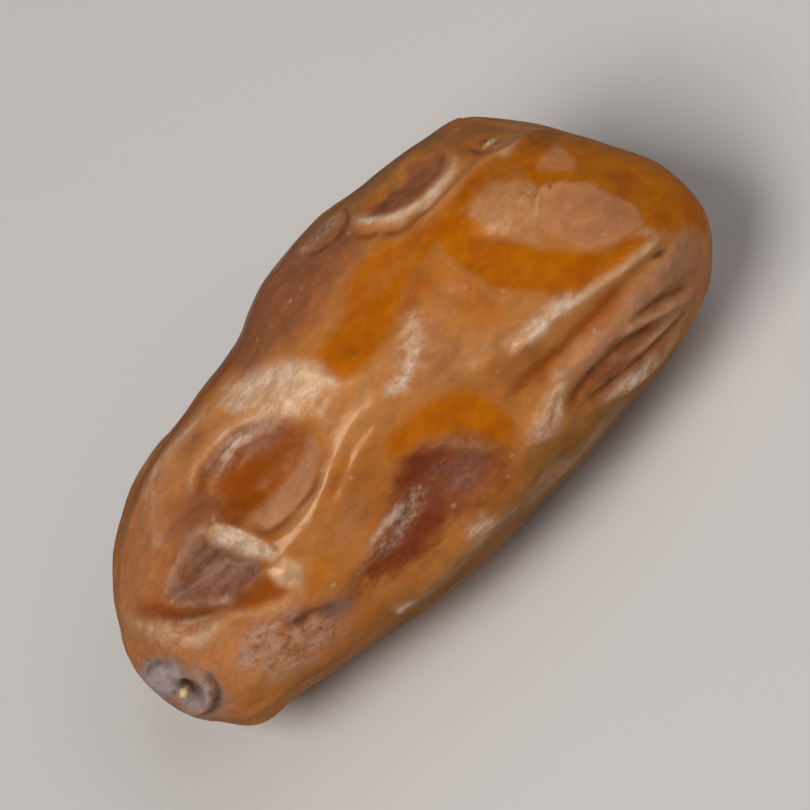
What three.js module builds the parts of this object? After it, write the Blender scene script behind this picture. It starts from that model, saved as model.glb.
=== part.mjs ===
// A deglet noor date as it lies on a table: one solid fruit with its skin folds. Millimetres, +Z up.
// The fruit is first shaped on its own axes and then rolled about its length into the pose it rests in.
// along: from the apex (negative) to the stem end. across: over the broad side. out: off the broad side.
import * as THREE from "three";
import { mergeVertices } from "three/addons/utils/BufferGeometryUtils.js";

// Driving dimensions
const LENGTH = 42.6;
const MID_LENGTH = -0.55; // where the mid-length lies on the along scale
const END_BLUNTNESS = 2.5; // 2 gives an ellipse's ends, more gives blunter ones
const SECTION_FULLNESS = 2.2; // 2 gives oval sections, more gives squarer ones
const ROLL_DEG = 37; // the broad side leans back by this much
const AXIS_HEIGHT = 8.3; // of the fruit's own axis above the table
const REST_SOFTNESS = 0.25; // the flat underside runs into the round skin over this height
const SEGMENTS_ALONG = 46;
const SEGMENTS_AROUND = 24; // on each of the four sides

// Skin wrinkles that run along the fruit
const WRINKLE_HEIGHT = 0.4;
const WRINKLE_COUNT = 15;
const STEM_PLEATS = 14;
const STEM_PLEAT_HEIGHT = 0.22;

// Outline of the broad side, and the thickness behind it: [along, top edge, bottom edge, thickness]
const STATIONS = [
  [-20.6, 4.1, -3.7, 7.4],
  [-19, 6.1, -5.6, 11.4],
  [-16, 8.3, -6.1, 14.2],
  [-12, 9.6, -7.0, 16.2],
  [-8, 10.1, -8.0, 17.2],
  [-4, 10.6, -8.4, 17.8],
  [0, 11.8, -8.7, 18.4],
  [4, 11.8, -8.7, 18.6],
  [8, 11.5, -8.5, 18.6],
  [12, 10.9, -8.2, 18.0],
  [15, 9.9, -7.6, 16.6],
  [17.5, 6.9, -6.7, 12.8],
  [19.2, 3.2, -5.5, 8.8],
  [20.2, 1.1, -4.3, 5.6],
];

const UP = 1; // the broad side that faces up
const UNDER = -1; // the side behind it

// Folds of skin: [side, width, height, points (along, across)]. A negative height is a crease.
const FOLDS = [
  // Shoulder crest round the big hollow, down to its sharp right edge
  [UP, 0.95, 0.6, [[-15.5, 6.4], [-12, 8.4], [-8.3, 9], [-6, 8.6], [-3.2, 7.6], [-1.4, 5]]],
  [UP, 0.75, 0.35, [[-12.3, 6.4], [-10, 7.4], [-7.5, 7.3], [-5.4, 6]]],
  // Sunken facet by the apex: its trench, outer rim and inner ridge
  [UP, 0.75, -0.5, [[-18.7, 3.8], [-17.8, 2], [-16, 0.6], [-13.5, 0.1]]],
  [UP, 0.8, 0.5, [[-19.2, 3], [-18.3, 1], [-16.3, 0], [-14.2, -0.9], [-12, -1.9], [-10.7, -1.4]]],
  [UP, 0.8, 0.45, [[-12.6, 4.6], [-11.6, 3], [-11.1, 1.2], [-11.4, 0]]],
  [UP, 0.8, -0.45, [[-14.4, -0.2], [-13.3, -0.8], [-12.2, -1.2]]],
  // Ridges that run from the facet to the middle
  [UP, 0.85, 0.6, [[-10.6, -0.7], [-8, 0.4], [-5, 1.6], [-3, 2.3], [0, 2.7], [3, 3]]],
  [UP, 0.7, 0.2, [[-9, -0.6], [-5.5, -0.3], [-2.5, 1]]],
  [UP, 0.7, -0.3, [[-10.2, 1.9], [-8.5, 1.7], [-7, 1.9]]],
  [UP, 1, -0.45, [[-9, -2.7], [-6, -2.2], [-3.5, -0.8]]],
  // Lips of the lower hollow and the dip beyond them
  [UP, 0.8, 0.4, [[-2.6, -0.8], [-0.9, -0.8], [1.1, -2], [2.1, -3.6], [2.2, -5.2]]],
  [UP, 0.9, -0.5, [[-1.4, 0], [0.9, 0], [2.7, -1.2], [3.6, -2.8]]],
  [UP, 0.9, 0.45, [[-9, -6.4], [-4, -6.8], [0, -7], [3, -6.7]]],
  // Sharp crest towards the stem end, and the valley under it
  [UP, 0.8, 0.85, [[3.5, -0.4], [6.5, -1.2], [8.5, -1.6], [12, -2.2], [15, -2.7], [17.9, -2.9]]],
  [UP, 0.8, -0.5, [[3.8, -3], [8, -3.5], [12, -3.3], [15.5, -3.5]]],
  // Wrinkles of the lower flank
  [UP, 0.8, 0.4, [[7.4, -4.6], [10, -4.5], [13, -4.3], [16, -4], [18.5, -3.5]]],
  [UP, 0.7, -0.4, [[7.3, -5.7], [9, -5.5], [11, -5.4], [13, -6], [16.5, -6]]],
  [UP, 0.75, 0.35, [[8.5, -7.2], [11.2, -7.6], [15, -7.3]]],
  [UP, 0.8, 0.4, [[2.3, -6], [4, -5.1], [6, -4.6], [7.4, -4.2]]],
  // Edge and trough to the left of the stem-end pad, and the dip beyond it
  [UP, 0.75, 0.3, [[7.9, 6.6], [7.8, 3.5], [8.3, 1], [9.6, -0.5]]],
  [UP, 1.15, -0.95, [[9, 6.6], [9.3, 3.5], [10.4, 1], [11.8, -0.5], [14.5, -1.6], [16.8, -2]]],
  [UP, 0.9, -0.55, [[15.2, 6], [16.9, 4.4], [18.1, 2], [18.6, -0.5], [18.1, -2]]],
  // Raised ring near the top edge, with a dip outside it
  [UP, 0.75, 0.4, [[5.9, 10.7], [6.5, 9.7], [8, 8.8], [10, 8.35], [12, 8.5], [12.6, 9.2]]],
  [UP, 0.75, -0.35, [[5.2, 9.9], [6.4, 8.8], [9, 7.9], [12.3, 7.7]]],
  // Far side: long folds that spread and join
  [UNDER, 0.95, 0.65, [[-17, 3], [-10, 5], [-2, 5.6], [6, 6.4], [13, 5]]],
  [UNDER, 0.8, -0.5, [[-14, 2.4], [-8, 3.4], [0, 4], [8, 4.6]]],
  [UNDER, 0.85, 0.55, [[-18, 0.2], [-11, 1.5], [-4, 1.2], [4, 2.4], [12, 1.6], [17, 0]]],
  [UNDER, 0.8, -0.45, [[-6, 7.6], [0, 8.2], [6, 8.6], [11, 8]]],
  [UNDER, 0.8, 0.5, [[-12, 7.4], [-5, 8.9], [2, 10], [9, 9.9]]],
  [UNDER, 0.7, 0.3, [[-16, -2.6], [-9, -2], [-2, -2.6], [6, -2], [15, -2.4]]],
  [UNDER, 0.8, -0.4, [[3, 0.6], [9, 0.2], [15, -0.6]]],
];

// Hollows and pads: [side, depth, edge width, outline (along, across)]. A negative depth is a pad.
const HOLLOWS = [
  // Big hollow in the shoulder
  [UP, 1.4, 2, [[-12.2, 6.2], [-10, 7.1], [-8, 7.1], [-5.3, 6.2], [-4.4, 4.6], [-5, 3], [-6.6, 2],
    [-8.5, 1.7], [-10.5, 1.8], [-11.3, 3], [-12, 4.8]]],
  // Sunken facet by the apex
  [UP, 0.8, 1.2, [[-17.2, 3.3], [-15, 4.3], [-12.6, 4.1], [-11.9, 2.4], [-12, 1], [-13, 0.4], [-15, 0.7],
    [-16.6, 1.3]]],
  // Lower hollow
  [UP, 1.1, 1.7, [[-8.6, -4.8], [-8, -3.8], [-6, -3], [-4.5, -2.3], [-2.5, -1.4], [-1.2, -1.4],
    [0.5, -2.3], [1.4, -3.4], [1.7, -4.6], [1.2, -5.7], [-0.5, -6], [-4.5, -5.9], [-7, -5.7]]],
  // Wide shallow dip over the middle
  [UP, 0.5, 1.8, [[-1, 6.4], [1, 5], [5, 4.9], [7.6, 5.6], [7.8, 7], [4, 8.2], [1, 8.6]]],
  // Pad by the stem end
  [UP, -0.7, 1, [[10.4, 6.1], [12.6, 6.2], [14.6, 4.5], [16.3, 3], [17, 0], [16.6, -1.2], [15, -1.4],
    [13.7, -0.4], [12, 1.7], [10.8, 4]]],
  // Pits near the top edge
  [UP, 0.5, 0.6, [[7, 9.9], [9, 9.1], [11.6, 9.1], [11.6, 9.8], [9.4, 10.6], [7.4, 10.6]]],
  [UP, 0.55, 0.7, [[13.4, 8.9], [13.9, 7.5], [15.4, 6.9], [16.8, 7.1], [16.2, 8], [14.8, 8.9]]],
  // Far side: three hollows where the skin clings
  [UNDER, 1, 1.4, [[-9, 4], [-4, 4.4], [-2, 3], [-5, 1.9], [-10, 2]]],
  [UNDER, 0.8, 1.3, [[5, 5], [11, 4.6], [13, 3], [9, 2.4], [5, 3.2]]],
  [UNDER, 0.7, 1.2, [[-15, 1.6], [-12, 2.4], [-10, 0.6], [-13, -0.8], [-16, -0.2]]],
];

// Scars at the two ends, on the skin: [along, across, radius]
const APEX_SCAR = [-20.4, -1.1, 1.5];
const APEX_RIM_HEIGHT = 0.25;
const APEX_PIT_DEPTH = 0.35;
const STEM_DIRECTION = new THREE.Vector3(1, -0.08, -0.37);
const STEM_SCAR_RADIUS = 3.4;
const STEM_DIP = 0.7;
const STEM_BUTTON_RADIUS = 1.5;
const STEM_BUTTON_HEIGHT = 0.75;

const FOLD_SAMPLES = 28;
const FOLD_CROWN = 0.6; // how round a fold's crest is, as a share of its width
const OUTLINE_SAMPLES = 40;
const EDGE_BAND = 2.2; // a hollow fades out over this much of the fruit's side

const smoothstep = THREE.MathUtils.smoothstep;

// How far round from the thick middle to the end the section has shrunk, at -1..1 of the half length.
function endTaper(t) {
  return Math.pow(Math.max(1 - Math.pow(Math.abs(t), END_BLUNTNESS), 0), 1 / END_BLUNTNESS);
}

function fractionAlong(along) {
  return (along - MID_LENGTH) / (LENGTH / 2);
}

// Centre, half height and half thickness along the fruit, as smooth curves through the stations. The
// two half sizes are held without the ends' taper, which makes them smooth up to the tips.
const profile = (() => {
  const points = STATIONS.map(([along, top, bottom, thickness]) => {
    const t = fractionAlong(along);
    const taper = endTaper(t);
    return { t, centre: (top + bottom) / 2, height: (top - bottom) / 2 / taper, thick: thickness / 2 / taper };
  });
  const spline = (key) => new THREE.SplineCurve(points.map((p) => new THREE.Vector2(p.t, p[key])));
  return { points, centre: spline("centre"), height: spline("height"), thick: spline("thick") };
})();

// The value of one of the profile's curves at t: its curve parameter is found by bisection.
function profileAt(key, t) {
  const { points } = profile;
  const clamped = THREE.MathUtils.clamp(t, points[0].t, points[points.length - 1].t);
  let low = 0;
  let high = 1;
  for (let step = 0; step < 24; step++) {
    const middle = (low + high) / 2;
    if (profile[key].getPoint(middle).x < clamped) low = middle;
    else high = middle;
  }
  return profile[key].getPoint((low + high) / 2).y;
}

// Point of the smooth fruit over a direction from its middle.
function bodyPoint(direction) {
  const round = Math.hypot(direction.y, direction.z);
  const size = Math.pow(
    Math.pow(Math.abs(direction.x), END_BLUNTNESS) + Math.pow(round, END_BLUNTNESS), 1 / END_BLUNTNESS);
  const t = direction.x / size;
  const taper = round / size;
  const cos = round > 1e-9 ? direction.y / round : 1;
  const sin = round > 1e-9 ? direction.z / round : 0;
  const full = Math.pow(
    Math.pow(Math.abs(cos), SECTION_FULLNESS) + Math.pow(Math.abs(sin), SECTION_FULLNESS),
    -1 / SECTION_FULLNESS);
  return new THREE.Vector3(
    MID_LENGTH + (t * LENGTH) / 2,
    profileAt("centre", t) + profileAt("height", t) * taper * full * cos,
    profileAt("thick", t) * taper * full * sin,
  );
}

// Point of the smooth fruit that shows at (along, across) on one side.
function skinPoint(side, along, across) {
  const t = fractionAlong(along);
  const taper = endTaper(t);
  const reach = profileAt("height", t) * taper;
  const fraction = THREE.MathUtils.clamp((across - profileAt("centre", t)) / reach, -0.99, 0.99);
  const rest = 1 - Math.pow(Math.abs(fraction), SECTION_FULLNESS);
  const out = profileAt("thick", t) * taper * Math.pow(rest, 1 / SECTION_FULLNESS);
  return new THREE.Vector3(along, profileAt("centre", t) + fraction * reach, side * out);
}

// A fold lies on the skin along a smooth curve through its points.
function makeFold([side, width, height, points]) {
  const curve = new THREE.CatmullRomCurve3(points.map(([along, across]) => skinPoint(side, along, across)));
  return { width, height, samples: curve.getPoints(FOLD_SAMPLES) };
}

// Height of a fold over a point of the skin: full at its middle line, gone at its ends and flanks.
function foldRelief({ width, height, samples }, point) {
  let nearest = Infinity;
  let place = 0;
  samples.forEach((sample, i) => {
    const distance = sample.distanceTo(point);
    if (distance < nearest) {
      nearest = distance;
      place = i / FOLD_SAMPLES;
    }
  });
  const ends = Math.pow(4 * place * (1 - place), 0.35);
  const crown = FOLD_CROWN * width;
  return height * ends * Math.exp(-(Math.hypot(nearest, crown) - crown) / width);
}

function makeHollow([side, depth, edge, outline]) {
  const loop = new THREE.CatmullRomCurve3(
    outline.map(([along, across]) => new THREE.Vector3(along, across, 0)), true);
  return { side, depth, edge, loop: loop.getPoints(OUTLINE_SAMPLES) };
}

// Distance from a point to a closed outline, positive inside it.
function insideDistance(loop, x, y) {
  let nearest = Infinity;
  let inside = false;
  for (let i = 0; i + 1 < loop.length; i++) {
    const a = loop[i];
    const b = loop[i + 1];
    const length = Math.hypot(b.x - a.x, b.y - a.y);
    const along = ((x - a.x) * (b.x - a.x) + (y - a.y) * (b.y - a.y)) / (length * length);
    const s = THREE.MathUtils.clamp(along, 0, 1);
    nearest = Math.min(nearest, Math.hypot(a.x + s * (b.x - a.x) - x, a.y + s * (b.y - a.y) - y));
    if (a.y > y !== b.y > y && x < a.x + ((y - a.y) * (b.x - a.x)) / (b.y - a.y)) inside = !inside;
  }
  return inside ? nearest : -nearest;
}

function hollowRelief({ side, depth, edge, loop }, point) {
  const facing = smoothstep(point.z * side, -EDGE_BAND / 2, EDGE_BAND / 2);
  if (facing === 0) return 0;
  return -depth * facing * smoothstep(insideDistance(loop, point.x, point.y), -0.4 * edge, edge);
}

// Fine ridges that run along the skin: strongest on the far side and towards the stem end.
function wrinkleRelief(point) {
  const t = fractionAlong(point.x);
  const angle = Math.atan2(point.z, point.y - profileAt("centre", t));
  const wander = 0.8 * Math.sin(4.1 * t + 1.3) + 0.45 * Math.sin(9.7 * t + 2 * Math.cos(angle));
  const ridge = 0.5 - Math.abs(Math.sin(0.5 * WRINKLE_COUNT * angle + wander));
  const broken = 0.65 + 0.35 * Math.sin(7 * t + 3 * angle);
  const far = 0.15 + 0.85 * smoothstep(-point.z, -6, 2);
  const body = 1 - smoothstep(Math.abs(t), 0.8, 0.96);
  return WRINKLE_HEIGHT * ridge * broken * far * body;
}

// The apex scar: a low rim round a small pit.
const apexCentre = skinPoint(UP, APEX_SCAR[0], APEX_SCAR[1]);
function apexRelief(point) {
  const distance = point.distanceTo(apexCentre) / APEX_SCAR[2];
  const rim = Math.exp(-Math.pow((distance - 1) / 0.4, 2));
  return APEX_RIM_HEIGHT * rim - APEX_PIT_DEPTH * Math.exp(-Math.pow(distance / 0.6, 2));
}

// The stem scar: a dished ring with pleats that run out from a small button of stalk fibre.
const stemCentre = bodyPoint(STEM_DIRECTION.clone().normalize());
function stemRelief(point) {
  if (point.x < MID_LENGTH) return 0;
  const distance = point.distanceTo(stemCentre);
  const angle = Math.atan2(point.z - stemCentre.z, point.y - stemCentre.y);
  const dip = Math.exp(-Math.pow(distance / STEM_SCAR_RADIUS, 4));
  const pleatBand = smoothstep(distance, 2, 3.6) * (1 - smoothstep(distance, 4.5, 9));
  const pleats = Math.cos(STEM_PLEATS * angle + 0.8 * Math.sin(3 * angle));
  const button = Math.exp(-Math.pow(distance / STEM_BUTTON_RADIUS, 4));
  return STEM_PLEAT_HEIGHT * pleats * pleatBand - STEM_DIP * dip + STEM_BUTTON_HEIGHT * button;
}

const folds = FOLDS.map(makeFold);
const hollows = HOLLOWS.map(makeHollow);

// Height of the skin over the smooth fruit.
function relief(point) {
  let height = wrinkleRelief(point) + apexRelief(point) + stemRelief(point);
  for (const fold of folds) height += foldRelief(fold, point);
  for (const hollow of hollows) height += hollowRelief(hollow, point);
  return height;
}

// A closed grid of directions: a box whose faces are swelled to a sphere, with even spacing.
function directionGrid() {
  const box = new THREE.BoxGeometry(2, 2, 2, SEGMENTS_ALONG, SEGMENTS_AROUND, SEGMENTS_AROUND);
  box.deleteAttribute("normal");
  box.deleteAttribute("uv");
  const grid = mergeVertices(box, 1e-5);
  const spread = (value) => Math.tan((value * Math.PI) / 4);
  const position = grid.getAttribute("position");
  const direction = new THREE.Vector3();
  for (let i = 0; i < position.count; i++) {
    direction.fromBufferAttribute(position, i);
    direction.set(spread(direction.x), spread(direction.y), spread(direction.z)).normalize();
    position.setXYZ(i, direction.x, direction.y, direction.z);
  }
  return grid;
}

// Splits each four-sided patch of the grid along the diagonal that bends the skin less.
function settleDiagonals(geometry) {
  const index = geometry.getIndex();
  const position = geometry.getAttribute("position");
  const corner = (i) => new THREE.Vector3().fromBufferAttribute(position, i);
  const normal = (a, b, c) => new THREE.Triangle(corner(a), corner(b), corner(c)).getNormal(new THREE.Vector3());
  for (let i = 0; i < index.count; i += 6) {
    const [a, b, d, c] = [index.getX(i), index.getX(i + 1), index.getX(i + 2), index.getX(i + 4)];
    const present = normal(a, b, d).dot(normal(b, c, d));
    const other = normal(a, b, c).dot(normal(a, c, d));
    if (other > present) [a, b, c, a, c, d].forEach((vertex, k) => index.setX(i + k, vertex));
  }
}

// The round underside flattens where it meets the table, with a soft edge.
function restHeight(z) {
  const height = z + AXIS_HEIGHT;
  if (height > REST_SOFTNESS) return height;
  if (height < -REST_SOFTNESS) return 0;
  return Math.pow(height + REST_SOFTNESS, 2) / (4 * REST_SOFTNESS);
}

// The fruit's skin: the smooth body, raised and sunk by its relief, rolled over and laid down.
function fruitGeometry() {
  const geometry = directionGrid();
  const position = geometry.getAttribute("position");
  const point = new THREE.Vector3();
  for (let i = 0; i < position.count; i++) {
    const body = bodyPoint(point.fromBufferAttribute(position, i));
    position.setXYZ(i, body.x, body.y, body.z);
  }
  geometry.computeVertexNormals();
  const normal = geometry.getAttribute("normal");
  const push = new THREE.Vector3();
  for (let i = 0; i < position.count; i++) {
    point.fromBufferAttribute(position, i);
    point.addScaledVector(push.fromBufferAttribute(normal, i), relief(point));
    position.setXYZ(i, point.x, point.y, point.z);
  }
  geometry.rotateX(THREE.MathUtils.degToRad(ROLL_DEG));
  for (let i = 0; i < position.count; i++) position.setZ(i, restHeight(position.getZ(i)));
  geometry.computeBoundingBox();
  const centre = geometry.boundingBox.getCenter(new THREE.Vector3());
  geometry.translate(-centre.x, -centre.y, 0);
  settleDiagonals(geometry);
  geometry.computeVertexNormals();
  return geometry;
}

function skinMaterial() {
  const amber = new THREE.Color(0.42, 0.17, 0.05);
  return new THREE.MeshStandardMaterial({ color: amber, roughness: 0.35, metalness: 0 });
}

function makeDate() {
  const fruit = new THREE.Mesh(fruitGeometry(), skinMaterial());
  fruit.name = "date_fruit";
  const group = new THREE.Group();
  group.add(fruit);
  return group;
}

const group = makeDate();

export default group;
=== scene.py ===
"""A deglet noor date: the fine skin of the fruit, its finish, and a plain studio round it."""

import logging
import math
from dataclasses import dataclass, field, replace
from enum import Enum

import bpy
import numpy as np
from mathutils import Matrix, Vector, noise


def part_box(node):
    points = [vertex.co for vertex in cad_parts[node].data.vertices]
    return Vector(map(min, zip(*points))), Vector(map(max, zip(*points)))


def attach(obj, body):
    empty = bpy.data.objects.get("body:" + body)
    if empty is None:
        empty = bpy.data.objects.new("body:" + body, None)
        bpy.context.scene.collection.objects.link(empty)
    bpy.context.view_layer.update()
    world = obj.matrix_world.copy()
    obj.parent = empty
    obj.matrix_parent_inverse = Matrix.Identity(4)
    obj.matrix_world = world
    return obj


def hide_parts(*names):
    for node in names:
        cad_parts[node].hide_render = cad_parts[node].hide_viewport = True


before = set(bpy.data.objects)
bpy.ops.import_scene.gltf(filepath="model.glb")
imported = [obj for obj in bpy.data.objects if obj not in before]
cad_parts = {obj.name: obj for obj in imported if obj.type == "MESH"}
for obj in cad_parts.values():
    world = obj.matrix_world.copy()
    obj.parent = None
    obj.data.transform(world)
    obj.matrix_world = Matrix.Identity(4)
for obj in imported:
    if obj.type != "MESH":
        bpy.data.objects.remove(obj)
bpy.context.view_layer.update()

log = logging.getLogger("date")
MM = 0.001
TINY = 1e-9
# Places further than this from an outline, in millimetres, count as this far
FAR = 6.0
# Ridged noise: fractal increment, lacunarity, octaves, offset and gain
RIDGED = (1.0, 2.1, 2, 0.9, 2.0)


class Side(Enum):
    """Which side of the fruit a feature lies on: the axis that leaves it, and the way along it."""

    UP = (2, 1)
    UNDER = (2, -1)
    BACK = (1, 1)

    @property
    def axis(self) -> int:
        """The axis that leaves the side."""
        return self.value[0]

    @property
    def sign(self) -> int:
        """Which way along the axis the side faces."""
        return self.value[1]


class Tint(Enum):
    """What a place of the skin is, or the highlight or shade painted on it, each with a vertex attribute of that
    name.
    """

    AMBER = "amber"
    OLIVE = "olive"
    MAROON = "maroon"
    LOOSE = "loose"
    MAUVE = "mauve"
    EMBER = "ember"
    RUSSET = "russet"
    BLOOM = "bloom"
    PALE = "pale"
    GLINT = "glint"
    SCAR = "scar"
    LILAC = "lilac"
    CORK = "cork"
    UMBER = "umber"
    CREAM = "cream"
    FIBRE = "fibre"
    MATT = "matt"


(AMBER, OLIVE, MAROON, LOOSE, MAUVE, EMBER, RUSSET, BLOOM, PALE, GLINT, SCAR, LILAC, CORK, UMBER, CREAM, FIBRE,
 MATT) = Tint
UP, UNDER, BACK = Side
Places = tuple[tuple[float, float], ...]
Colour = tuple[float, float, float, float]


@dataclass(frozen=True)
class Fold:
    """A crest or, with a negative height, a crease along a line on the skin.

    Here and in the next classes sizes are in millimetres, and the places are (along, across) on one side
    of the fruit, or (along, out) on its back.
    """

    width: float
    height: float
    places: Places
    sharpness: float = 0.0
    side: Side = UP


@dataclass(frozen=True)
class Hollow:
    """A dip or, with a negative depth, a pad inside an outline."""

    depth: float
    edge: float
    places: Places
    side: Side = UP
    straight: bool = False


@dataclass(frozen=True)
class Patch:
    """A patch of one tint inside an outline."""

    tint: Tint
    strength: float
    softness: float
    places: Places
    side: Side = UP
    straight: bool = False


@dataclass(frozen=True)
class Streak:
    """A streak of one tint along a line."""

    tint: Tint
    strength: float
    width: float
    places: Places
    side: Side = UP


Feature = Fold | Hollow | Patch | Streak

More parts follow.
